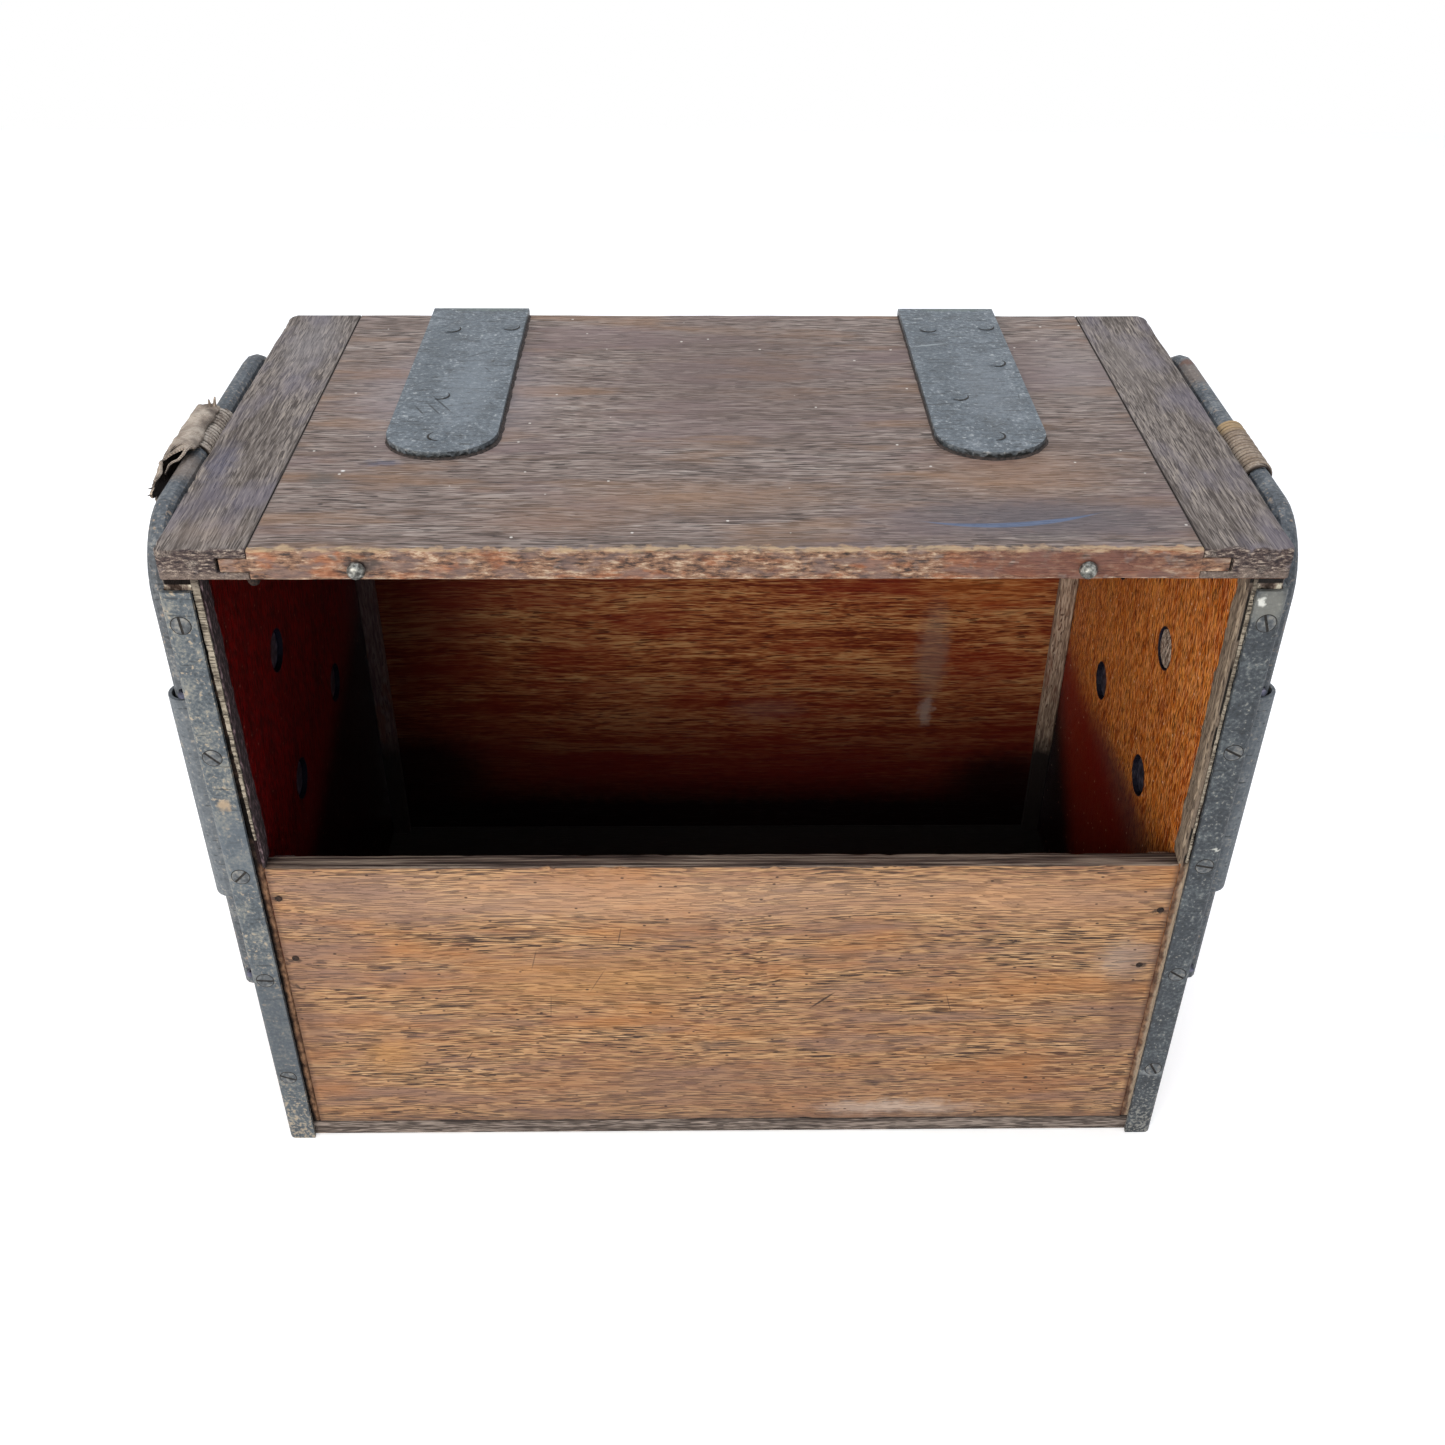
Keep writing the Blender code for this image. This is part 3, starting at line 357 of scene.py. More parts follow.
def worn_outline(corners, rounds, station, inset, seed, counts, sway):
    """A cross section of old wood: every arris is worn by its own amount, and the faces are not quite flat."""
    corners = [Vector(corner) for corner in corners]
    ring = []
    for number, corner in enumerate(corners):
        rub = noise.noise((station / 0.013, number * 7.3, seed))
        chip = max(0.0, noise.noise((station / 0.004, number * 3.1 + 50, seed)) - 0.3)
        radius = max(0.00012, inset + 0.00006, rounds[number] * (1 + 0.8 * rub + 4 * chip))
        after = corners[(number + 1) % len(corners)]
        ring += corner_arc(corner, corners[number - 1], after, radius, 4)
        way = (after - corner).normalized()
        for step in range(1, counts[number]):
            ring.append((corner.lerp(after, step / counts[number]), Vector((way.y, -way.x))))
    swayed = []
    for point, normal in ring:
        ripple = noise.noise((station / 0.035, point.x / 0.035, point.y / 0.035 + seed))
        swayed.append((point + normal * ripple * sway, normal))
    return swayed


def ring_faces(size, rings):
    """The faces of a closed piece that is a row of rings of points: its two ends, and what lies between."""
    faces = [list(range(size)), list(range(size * (rings - 1), size * rings))]
    for start in range(0, size * (rings - 1), size):
        for number in range(size):
            here = start + number
            after = start + (number + 1) % size
            faces.append([here, after, after + size, here + size])
    return faces


LIFTS = {
    "X": lambda s, p: (s, p.x, p.y),
    "Y": lambda s, p: (p.x, s, p.y),
    "Z": lambda s, p: (p.x, p.y, s),
}


def worn_length(section, along, low, high, rounds, end_round, seed, spacing=0.005, step=0.004, sway=0.0001):
    """Points and faces of a length of worn wood; section gives its corners at a station, anticlockwise."""
    count = max(2, round((high - low - 2 * end_round) / step))
    stations = [(low, end_round), (low + 0.29 * end_round, 0.29 * end_round)]
    stations += [(low + end_round + (high - low - 2 * end_round) * n / count, 0.0) for n in range(count + 1)]
    stations += [(high - 0.29 * end_round, 0.29 * end_round), (high, end_round)]
    # Every station has as many points as the middle one, so that the rings join up where the section narrows.
    middle = [Vector(corner) for corner in section((low + high) / 2)]
    counts = [max(1, round((middle[(n + 1) % len(middle)] - corner).length / spacing)) for n, corner in
              enumerate(middle)]
    points = []
    for station, inset in stations:
        ring = worn_outline(section(station), rounds, station, inset, seed, counts, sway)
        points += [LIFTS[along](station, point - normal * inset) for point, normal in ring]
    return points, ring_faces(len(points) // len(stations), len(stations))


def joined(name, parts, smooth):
    """One mesh from several closed parts, with its flat faces crisp and its worn arrises smooth."""
    points = []
    faces = []
    for part_points, part_faces in parts:
        faces += [[number + len(points) for number in face] for face in part_faces]
        points += part_points
    mesh = bpy.data.meshes.new(name)
    mesh.from_pydata(points, [], faces)
    bm = bmesh.new()
    bm.from_mesh(mesh)
    bmesh.ops.recalc_face_normals(bm, faces=bm.faces)
    bm.to_mesh(mesh)
    bm.free()
    mesh.shade_smooth()
    mesh.set_sharp_from_angle(angle=math.radians(smooth))
    return mesh


def new_object(name, data):
    """An object of a mesh, a lamp or the camera's settings, put in the scene."""
    made = bpy.data.objects.new(name, data)
    bpy.context.collection.objects.link(made)
    return made


def piece(name, parts, material, body, smooth=50):
    """A new piece, of parts or a mesh, that rides on a CAD body and takes the finish it is given."""
    made = new_object(name, parts if isinstance(parts, bpy.types.Mesh) else joined(name, parts, smooth))
    made.data.materials.append(material)
    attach(made, body)
    return made


torn_wood, tree = new_finish("torn oak, weathered")
# Where the front was broken away the bare wood is furry and grey: no gloss, deep ragged relief.
# On the left, whose inner wall stands in shade, it is painted near black: painted shade.
wood = oak(tree, "Z", [(0.34, "#54473b"), (0.48, "#776857"), (0.62, "#938370")], (0.012, 0.003), (0.005, 0.0012),
           (0.005, 0.0007), "#2c2019", level=0.64, seed=11.0)
hairs = grained(tree, wood.place, (900, 900, 300), 3.0)
shaded_scar_tone = add(tree, "ValToRGB", hairs, stops=[(0.40, "#160d10"), (0.53, "#34252a"), (0.66, "#6b5a5e")])
colour = laid(tree, wood.colour, shaded_scar_tone, wood.split["X"], 0.01, -0.01)
close_finish(tree, colour, 0.95, wood.height, 0.0007)

pale_splinter, tree = new_finish("split oak edge, bleached")
# The board's sawn edge beside the strap: bleached almost cream, with dark cracks across it.
wood = oak(tree, "X", [(0.34, "#4d453b"), (0.48, "#80786a"), (0.62, "#a69d8d")], (0.006, 0.006), (0.004, 0.0011),
           (0.004, 0.0007), "#2a231d", level=0.64, seed=13.0)
# Towards the top, under the lid, it is painted darker: painted shade.
colour = laid(tree, wood.colour, "#3b332c", wood.split["Z"], BOARD_TOP_Z - 0.008, BOARD_TOP_Z - 0.002, 0.75)
close_finish(tree, colour, 0.9, wood.height, 0.0008)

SCAR_DEPTH = 0.0105
SPLINTER_FOOT_Z = 0.192
for side, sign in SIGNS.items():
    def scar(z, sign=sign):
        """The scar's section: thick at the board's front edge, ragged and thin at its back."""
        back = BOARD_FRONT_Y + SCAR_DEPTH + 0.0026 * noise.noise((z / 0.011, sign * 4, 2)) + 0.0012 * noise.noise(
            (z / 0.003, sign * 4, 9))
        thick = 0.0009 + 0.0006 * noise.noise((z / 0.008, 5, sign))
        ring = [(INNER_X + 0.0004, BOARD_FRONT_Y + 0.0002), (INNER_X + 0.0004, back),
                (INNER_X - 0.0002, back), (INNER_X - thick, BOARD_FRONT_Y + 0.0002)]
        return [(sign * x, y) for x, y in (ring if sign > 0 else ring[::-1])]

    scar_part = worn_length(scar, "Z", FRONT_TOP_Z + 0.0006, BOARD_TOP_Z - 0.0003, [0.0001, 0.0002, 0.0002, 0.0003],
                            0.0002, 3.0 + sign, spacing=0.002, step=0.0018, sway=0.0004)
    piece(side + "_torn_scar", [scar_part], torn_wood, "case", 70)

    def splinter(z, sign=sign):
        """The bleached strip beside the strap: it narrows downwards, and its face has cross ridges."""
        share = min(1.0, max(0.0, (z - SPLINTER_FOOT_Z) / (BOARD_TOP_Z - SPLINTER_FOOT_Z)))
        wide = 0.0009 + (0.0021 if sign < 0 else 0.0007) * share + 0.0004 * noise.noise((z / 0.006, 1, sign))
        proud = 0.0007 + 0.0006 * noise.noise((z / 0.0018, 3, sign))
        edge = INNER_X + 0.0002 if sign < 0 else INNER_X + 0.0020
        ring = [(edge, BOARD_FRONT_Y - proud), (edge + wide, BOARD_FRONT_Y - proud),
                (edge + wide, BOARD_FRONT_Y + 0.0004), (edge, BOARD_FRONT_Y + 0.0004)]
        return [(sign * x, y) for x, y in (ring if sign > 0 else ring[::-1])]

    strip = worn_length(splinter, "Z", 0.194 if sign < 0 else 0.179, BOARD_TOP_Z - 0.0008,
                        [0.0002, 0.0002, 0.0001, 0.0001], 0.0003, 6.0 + sign, spacing=0.001, step=0.0009,
                        sway=0.0002)
    piece(side + "_edge_splinter", [strip], pale_splinter, "case", 70)


# Front board: one golden oak board between the sides, nailed into the fillets. Its top edge was
# sawn off rough and has gone dark, with a worn orange arris in front of it.

front_low, front_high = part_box("front_board")

front_oak, tree = new_finish("oiled oak, golden")
# Planed oak under old thin varnish: golden brown, matt to satin, with short dark open pores.
tones = [(0.27, "#6e4c38"), (0.40, "#90694c"), (0.51, "#a6805a"), (0.62, "#b68e64"), (0.75, "#c3a078")]
wood = oak(tree, "X", tones, (0.10, 0.009), (0.030, 0.00075), (0.0115, 0.00046), "#2c1913", cover=0.95, level=0.553,
           seed=17.0)
colour = clouded(tree, wood.colour, wood.place, "#846657", (0.09, 0.05, 0.013), 0.50, 0.68, 0.75, seed=4.0)
colour = clouded(tree, colour, wood.place, "#ad7440", (0.09, 0.06, 0.022), 0.50, 0.68, 0.60, seed=9.0)
for code, x, z, half_x, half_z, strength in [
    ("#b8957a", -0.040, 0.160, 0.240, 0.022, 0.50),
    ("#c09470", 0.140, 0.158, 0.080, 0.022, 0.45),
    ("#7d6358", -0.165, 0.162, 0.045, 0.012, 0.50),
    ("#7d6358", -0.176, 0.128, 0.030, 0.020, 0.40),
    ("#b5844c", -0.160, 0.058, 0.020, 0.018, 0.55),
    ("#b3814a", -0.062, 0.108, 0.085, 0.024, 0.45),
    ("#8a5638", 0.150, 0.040, 0.060, 0.030, 0.35),
    ("#7c5a48", -0.030, 0.040, 0.090, 0.022, 0.35),
    ("#7e6153", 0.000, 0.026, 0.260, 0.028, 0.35),
    ("#b9a698", 0.087, 0.018, 0.060, 0.008, 0.80),
    ("#4f3d38", -0.003, 0.064, 0.018, 0.006, 0.60),
    ("#4f3d38", 0.004, 0.050, 0.014, 0.004, 0.50),
    ("#4f3d38", 0.078, 0.038, 0.016, 0.005, 0.65),
    ("#b7a596", 0.186, 0.120, 0.018, 0.018, 0.45),
    # Both ends, beside the straps, are painted darker: painted shade.
    ("#6b4c3c", 0.190, 0.090, 0.012, 0.060, 0.45),
    ("#6b4c3c", -0.196, 0.080, 0.010, 0.070, 0.45),
]:
    colour = stain(tree, colour, wood.ragged, code, (x, front_low.y, z), (half_x, 0.02, half_z), edge=0.9,
                   strength=strength)
# Scratches across the grain, and one round nail mark.
for x, z, half_long, half_wide, turn, strength in [
    (0.0470, 0.0942, 0.0100, 0.0008, -0.74, 1.00),
    (-0.0871, 0.1216, 0.0082, 0.0004, -1.34, 0.60),
    (-0.0811, 0.0908, 0.0104, 0.0004, -1.51, 0.45),
    (-0.1224, 0.0571, 0.0048, 0.0005, -1.06, 0.70),
    (-0.0473, 0.1363, 0.0074, 0.0004, -1.40, 0.65),
    (-0.0585, 0.1077, 0.0104, 0.0004, -1.09, 0.55),
    (0.1071, 0.0911, 0.0090, 0.0004, 1.31, 0.60),
    (0.1500, 0.0394, 0.0014, 0.0012, 0.00, 1.00),
]:
    colour = stain(tree, colour, wood.place, "#3d2a20", (x, front_low.y, z), (half_long, 0.01, half_wide),
                   turn=(0.0, turn, 0.0), edge=0.6, strength=strength)
for x, z in ((-0.1996, 0.1592), (-0.1970, 0.1222), (0.1974, 0.1495), (0.1944, 0.1162), (-0.1985, 0.1061)):
    colour = stain(tree, colour, wood.ragged, "#2a1a12", (x, front_low.y, z), (0.0062, 0.01, 0.0016), strength=0.8)
# Small dents and worm pits, packed with dirt.
dents = add(tree, "TexVoronoi", add(tree, "Mapping", wood.place, Scale=(0.6, 1, 1)), Scale=190.0)
colour = laid(tree, colour, "#35211a", dents.outputs["Distance"], 0.115, 0.07, 0.9)
colour = laid(tree, colour, "#6b5347", wood.torn["Z"], front_low.z + 0.008, front_low.z + 0.001, 0.6)
off_middle = add(tree, "Math", wood.split["X"], operation="ABSOLUTE")
# The last two millimetres of each end are painted darker too: painted shade beside the straps.
colour = laid(tree, colour, "#5c4030", off_middle, front_high.x - 0.0024, front_high.x - 0.0001, 0.7)
sawn = grained(tree, wood.place, (22, 900, 900), 3.0)
sawn_tone = add(tree, "ValToRGB", sawn, stops=[(0.34, "#271d1a"), (0.5, "#66574f"), (0.64, "#9c8d7e")])
colour = laid(tree, colour, sawn_tone, wood.split["Z"], front_high.z - 0.0006, front_high.z - 0.0001)
colour = laid(tree, colour, "#4a2216", wood.split["Y"], front_high.y - 0.0004, front_high.y - 0.0002)
close_finish(tree, colour, 0.66, wood.height, 0.0004, Specular_IOR_Level=0.35)

front_ring = [(front_low.y, front_low.z), (front_high.y, front_low.z), (front_high.y, front_high.z),
              (front_low.y, front_high.z)]
front_part = worn_length(lambda x: front_ring, "X", front_low.x - 0.00025, front_high.x + 0.00025,
                         [0.0006, 0.0004, 0.0008, 0.0009], 0.00018, 21.0, spacing=0.006, sway=0.00025)
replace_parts(piece("front_board_worn", [front_part], front_oak, "case"), "front_board")


def turned_part(profile, sides, base, normal):
    """Points and faces of a small round piece spun from (radius, height) pairs, standing on base along normal."""
    facing = normal.to_track_quat("Z", "Y").to_matrix()
    points = []
    for radius, height in profile:
        for number in range(sides):
            angle = math.tau * number / sides
            local = Vector((radius * math.cos(angle), radius * math.sin(angle), height))
            points.append(tuple(base + facing @ local))
    return points, ring_faces(sides, len(profile))


def gritty(name, scale, detail, tones, roughness, depth, metallic=0.0):
    """A finish whose tone and relief both follow one fine grit; depth is the relief's height in metres."""
    material, tree = new_finish(name)
    grit = add(tree, "TexNoise", add(tree, "TexCoord").outputs["Object"], Scale=scale, Detail=detail)
    close_finish(tree, add(tree, "ValToRGB", grit, stops=tones), roughness, grit, depth, Metallic=metallic)
    return material


# Sunk nail heads have rusted: almost black, rough and slightly brown.
rusty_nail = gritty("cut nail, rusted black", 900.0, 3.0, [(0.35, "#120c0a"), (0.65, "#3a2a22")], 0.8, 0.0003, 0.5)

nail_profile = [(0.0001, 0.0), (0.0016, 0.0), (0.0017, 0.0002), (0.0012, 0.00035), (0.0001, 0.0004)]
nails = [turned_part(nail_profile, 12, Vector((x, front_low.y + 0.0001, z)), Vector((0, -1, 0)))
         for x, z in ((-0.1979, 0.1600), (-0.1961, 0.1233), (0.1974, 0.1507), (0.1935, 0.1164))]
piece("front_board_nails", nails, rusty_nail, "case")


# Corner straps: steel angle, 13 mm a leg, painted grey and screwed over each upright corner with
# five slotted countersunk screws. The paint is thick, lumpy and rubbed.

STRAP_LEG = 0.0128
STRAP_FRONT_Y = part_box("front_left_corner_strap")[0].y
STRAP_BACK_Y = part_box("back_left_corner_strap")[1].y
STRAP_OUTER_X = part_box("front_right_corner_strap")[1].x


def steel_paint(name, tones, speck_tone, speck_share, seed, spots=(), scratch=0.6, roughness=(0.50, 0.68),
                relief=0.00022):
    """Old grey paint on steel: clouds of tone, fine lumps, pale rubbed specks, and short scratches each way."""
    material, tree = new_finish(name)
    place = add(tree, "TexCoord").outputs["Object"]
    moved = add(tree, "Mapping", place, Location=(seed, seed / 2, seed / 3))
    clouds = add(tree, "TexNoise", moved, Scale=90.0, Detail=5.0, Roughness=0.68)
    lumps = add(tree, "TexNoise", moved, Scale=620.0, Detail=3.0, Roughness=0.6)
    mixed = add(tree, "Mix", 0.45, clouds, lumps, data_type="FLOAT")
    colour = add(tree, "ValToRGB", mixed, stops=tones)
    grit = add(tree, "TexNoise", moved, Scale=360.0, Detail=2.0)
    colour = laid(tree, colour, speck_tone, grit, 0.70 - speck_share, 0.76 - speck_share, 0.85)
    # Shoes and floors have scuffed it pale low down.
    foot = add(tree, "MapRange", add(tree, "SeparateXYZ", place).outputs["Z"], 0.046, 0.0, To_Max=0.15)
    scuffed = add(tree, "Math", lumps, foot, operation="ADD")
    colour = laid(tree, colour, speck_tone, scuffed, 0.605, 0.70, 0.75)
    lines = None
    for turn, code in (((0.5, 0.4, 0.65), "#23282b"), ((-0.5, 0.3, -0.9), "#2a2f33")):
        thread = grained(tree, moved, (95, 1000, 1000), 0.0, Rotation=turn)
        line = add(tree, "MapRange", thread, 0.745, 0.785, To_Max=scratch)
        colour = add(tree, "Mix", line, colour, code, data_type="RGBA")
        lines = line if lines is None else add(tree, "Math", lines, line, operation="MAXIMUM")
    ragged = strayed(tree, place, grit, 0.006)
    for code, centre, size, strength, *turn in spots:
        colour = stain(tree, colour, place if turn else ragged, code, centre, size, strength=strength,
                       turn=(0.0, 0.0, turn[0] if turn else 0.0))
    gloss = add(tree, "MapRange", clouds, 0.35, 0.65, To_Min=roughness[0], To_Max=roughness[1])
    height = add(tree, "Math", lines, -1.0, lumps, operation="MULTIPLY_ADD")
    close_finish(tree, colour, gloss, height, relief, Specular_IOR_Level=0.4)
    return material


right_x = STRAP_OUTER_X - STRAP_LEG / 2
left_x = -right_x
strap_paints = {
    # Brushed paint, much rubbed on the left: grey-beige above and bluer below.
    "left": steel_paint("brushed grey paint, rubbed pale", [(0.36, "#2c3439"), (0.48, "#4c555c"), (0.60, "#7d7f7a")],
                        "#a39683", 0.08, 2.0, spots=(
        ("#58626b", (left_x, STRAP_FRONT_Y, 0.190), (0.02, 0.02, 0.035), 0.5),
        ("#454d55", (left_x, STRAP_FRONT_Y, 0.080), (0.02, 0.02, 0.060), 0.65),
        ("#b09a7c", (left_x, STRAP_FRONT_Y, 0.215), (0.004, 0.01, 0.004), 0.7),
    )),
    # The same paint is darker and bluer on the right, with white splashes near the top.
    "right": steel_paint("brushed blue grey paint", [(0.37, "#202529"), (0.49, "#353b41"), (0.62, "#5c6366")],
                         "#8a8a84", 0.045, 9.0, spots=(
        ("#7c7d77", (right_x, STRAP_FRONT_Y, 0.312), (0.012, 0.01, 0.012), 0.7),
        ("#d6d8d2", (right_x - 0.004, STRAP_FRONT_Y, 0.314), (0.002, 0.01, 0.003), 0.9),
        ("#c9cbc4", (right_x + 0.003, STRAP_FRONT_Y, 0.188), (0.003, 0.01, 0.0015), 0.8),
        ("#9aa0a2", (right_x, STRAP_FRONT_Y, 0.045), (0.008, 0.01, 0.004), 0.6),
    )),
}


def ease_sheet(node, width):
    """Rolls the sharp edges of a CAD node of sheet steel, so that they catch the light."""
    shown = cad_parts[node]
    weld = shown.modifiers.new("weld", "WELD")
    weld.merge_threshold = 0.00001
    bevel = shown.modifiers.new("rolled edge", "BEVEL")
    bevel.width = width
    bevel.segments = 2
    bevel.limit_method = "ANGLE"
    bevel.angle_limit = math.radians(50)


for end in ("front", "back"):
    for side in ("left", "right"):
        dress(f"{end}_{side}_corner_strap", strap_paints[side])
        ease_sheet(f"{end}_{side}_corner_strap", 0.0003)

# Steel wood screws under the same paint, rubbed bare on their high parts.
screw_steel = gritty("slotted screw, painted over", 500.0, 4.0,
                     [(0.34, "#363b3f"), (0.5, "#53585c"), (0.66, "#7a7a76")], 0.5, 0.0002, 0.2)

# Old dirt and paint packed into slots and round the heads: black and dull. The same black makes the
# crescent of painted shade beside each painted-over head on the hinge leaves.
packed_dirt_and_shade = gritty("packed dirt and painted shade", 900.0, 2.0, [(0.35, "#0d0c0c"), (0.65, "#2a2725")], 0.9, 0.0002)

SCREW_RADIUS = 0.0038
SCREW_PROUD = 0.00022
SLOT_HALF = 0.00055


def screw_parts(base, normal, turn):
    """A slotted countersunk head: two half moons over a floor of dirt, in a thin ring of dirt."""
    facing = normal.to_track_quat("Z", "Y").to_matrix() @ Matrix.Rotation(turn, 3, "Z")
    heads = []
    start = math.asin(SLOT_HALF / SCREW_RADIUS)
    for half in (1, -1):
        rim = [start + (math.pi - 2 * start) * n / 14 for n in range(15)]
        rows = []
        for radius, height in ((SCREW_RADIUS, -0.0004), (SCREW_RADIUS, SCREW_PROUD * 0.5),
                               (SCREW_RADIUS - 0.0002, SCREW_PROUD), (SCREW_RADIUS * 0.5, SCREW_PROUD * 1.4)):
            for angle in rim:
                flat = Vector((radius * math.cos(angle), max(SLOT_HALF, radius * math.sin(angle)), height))
                rows.append(tuple(base + facing @ Vector((flat.x * half, flat.y * half, flat.z))))
        heads.append((rows, ring_faces(len(rim), 4)))
    bed = [(0.0001, 0.00004), (SCREW_RADIUS - 0.0003, 0.00004), (SCREW_RADIUS + 0.00036, 0.00004),
           (SCREW_RADIUS + 0.00046, -0.0002), (0.0001, -0.0002)]
    return heads, turned_part(bed, 24, base, normal)


def screw_row(name, places, normal):
    """A row of screws as two pieces: their heads, and the dirt that they sit in."""
    heads = []
    beds = []
    for base, turn in places:
        head, bed = screw_parts(Vector(base), Vector(normal), turn)
        heads += head
        beds.append(bed)
    piece(name + "_screws", heads, screw_steel, "case", 35)
    piece(name + "_screw_dirt", beds, packed_dirt_and_shade, "case", 35)


SCREW_HEIGHTS = {"left": (0.3041, 0.2399, 0.1749, 0.1114, 0.0451), "right": (0.3043, 0.2410, 0.1786, 0.1120, 0.0476)}
SCREW_TURNS = {"left": (1.50, 0.80, 2.35, 0.05, 0.40), "right": (1.25, 0.50, 0.20, 0.60, 1.05)}
for side, x in (("left", left_x), ("right", right_x)):
    rows = list(zip(SCREW_HEIGHTS[side], SCREW_TURNS[side]))
    screw_row(f"front_{side}_strap", [((x, STRAP_FRONT_Y, z), -turn) for z, turn in rows], (0, -1, 0))
    screw_row(f"back_{side}_strap", [((x, STRAP_BACK_Y, z), turn + 0.7) for z, turn in rows], (0, 1, 0))


# Handle plates, bolts and plug: a steel sheet down each side, its ends rolled into long eyes for the
# handle's legs, held by four bolts. A pulpy wooden plug still fills one of the bolts' recesses.

plate_paint = steel_paint("grey paint on rolled sheet", [(0.34, "#464d53"), (0.5, "#5d646a"), (0.66, "#7b8083")],
                          "#958e83", 0.015, 15.0)
# Machine bolts with oil and fumes burnt on: dark blue-black with a dull metal sheen.
bolt_steel = gritty("oiled steel, blue black", 260.0, 4.0,
                    [(0.36, "#242430"), (0.52, "#484b5c"), (0.66, "#727080")], 0.42, 0.0003, 0.6)

for side in ("left", "right"):
    dress(side + "_handle_plate", plate_paint)
    ease_sheet(side + "_handle_plate", 0.0002)
    for row in ("upper", "lower"):
        for column in ("front", "back"):
            dress(f"{side}_{row}_{column}_bolt", bolt_steel)
            dress(f"{side}_{row}_{column}_nut", bolt_steel)
            ease_sheet(f"{side}_{row}_{column}_nut", 0.0004)

plug_pulp, tree = new_finish("softwood plug, pulped")
# End grain that has been soaked and crushed: grey-beige, fibrous, with deep dark clefts.
wood = oak(tree, "Z", [(0.36, "#4d3a2e"), (0.48, "#9a8676"), (0.60, "#c9b9a9")], (0.006, 0.002), (0.004, 0.0008),
           (0.004, 0.0007), "#20140e", level=0.58, seed=19.0)
close_finish(tree, wood.colour, 0.9, wood.height, 0.0012)

plug_low, plug_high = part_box("right_upper_front_plug")
plug_centre = (plug_low + plug_high) / 2
plug_radius = (plug_high.y - plug_low.y) / 2
bm = bmesh.new()
bmesh.ops.create_uvsphere(bm, u_segments=32, v_segments=20, radius=1.0)
for vert in bm.verts:
    flat = vert.co.copy()
    deep = 0.0010 + 0.0005 * noise.noise((flat.y * 2.2, flat.z * 3.1, 4)) + 0.0003 * noise.noise(flat * 6)
    rim = plug_radius * (0.96 + 0.05 * noise.noise((flat.y * 3, flat.z * 3, 1)))
    vert.co = plug_centre + Vector((flat.x * deep * (1 + 0.5 * noise.noise((flat.y * 6, 0, 3))), flat.y * rim,
                                    flat.z * rim))
plug_mesh = bpy.data.meshes.new("right_plug_pulp")
bm.to_mesh(plug_mesh)
bm.free()
plug_mesh.shade_smooth()
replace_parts(piece("right_plug_pulp", plug_mesh, plug_pulp, "case"), "right_upper_front_plug")


# Bail handles: round rod bent into a bail, painted and worn to bare steel and rust, with cross pins
# in its legs. Each grip is whipped with cord, and the left one keeps a torn flap of canvas.

rod_paint = steel_paint("chipped paint on round rod", [(0.35, "#2b3034"), (0.5, "#4d5359"), (0.64, "#7c8081")],
                        "#8f8173", 0.06, 23.0, spots=(
    ("#8a7868", (-0.2236, -0.050, 0.337), (0.01, 0.016, 0.01), 0.5),
    ("#7d6a5a", (0.2236, 0.050, 0.337), (0.01, 0.020, 0.01), 0.5),
    ("#5b3a2c", (0.2236, 0.062, 0.337), (0.005, 0.005, 0.01), 0.8),
))
for side in ("left", "right"):
    dress(side + "_handle", rod_paint)
    for end in ("front", "back"):
        for stop in ("rest", "stop"):
            dress(f"{side}_handle_{end}_{stop}_pin", bolt_steel)

CORD_PITCH = 0.0025
CORD_HALF_WIDE = 0.00123
CORD_HALF_THICK = 0.00088
CORD_POINTS = 30
CORD_SIDES = 14
STRAND_TWIST = 9.0


def whipping_part(centre, first_y, turns, seed):
    """Flattened two-strand cord wound tightly round the bar, its turns touching and a little uneven."""
    points = []
    count = turns * CORD_POINTS
    for step in range(count + 1):
        angle = math.tau * step / CORD_POINTS + 1.1
        y = first_y + CORD_PITCH * step / CORD_POINTS
        slack = 0.00012 * noise.noise((step / 9.0, seed, 0))
        radial = Vector((math.cos(angle), 0, math.sin(angle)))
        middle = Vector((centre.x, y + 0.0002 * noise.noise((step / 11.0, seed, 5)), centre.z))
        middle += radial * (centre.y + slack)
        end_share = min(1.0, min(step, count - step) / 5 + 0.35)
        for number in range(CORD_SIDES):
            turn = math.tau * number / CORD_SIDES
            lobe = 1 + 0.13 * math.cos(2 * turn - STRAND_TWIST * step / CORD_POINTS)
            across = Vector((0, math.cos(turn) * CORD_HALF_WIDE * lobe, 0))
            points.append(tuple(middle + (across + radial * math.sin(turn) * CORD_HALF_THICK * lobe) * end_share))
    return points, ring_faces(CORD_SIDES, count + 1)


whipping_cord, tree = new_finish("waxed hemp cord, dirty")
# Twisted hemp, waxed and handled: grey-brown, slightly shiny on the crowns, painted dark between the turns as shade.
place = add(tree, "TexCoord").outputs["Object"]
strands = add(tree, "TexNoise", place, Scale=1100.0, Detail=3.0)
clouds = add(tree, "TexNoise", place, Scale=90.0, Detail=3.0)
mixed = add(tree, "Mix", 0.5, strands, clouds, data_type="FLOAT")
tone = add(tree, "ValToRGB", mixed, stops=[(0.38, "#6b5e52"), (0.5, "#9a8d80"), (0.62, "#c0b5a7")])
tone = stain(tree, tone, place, "#7f6c58", (0.2236, -0.030, 0.336), (0.02, 0.040, 0.02), strength=0.6)
tone = stain(tree, tone, place, "#b09468", (0.2236, -0.011, 0.336), (0.02, 0.009, 0.02), strength=0.6)
tone = stain(tree, tone, place, "#2a1d18", (0.2236, -0.0535, 0.332), (0.02, 0.0022, 0.02), strength=0.85)
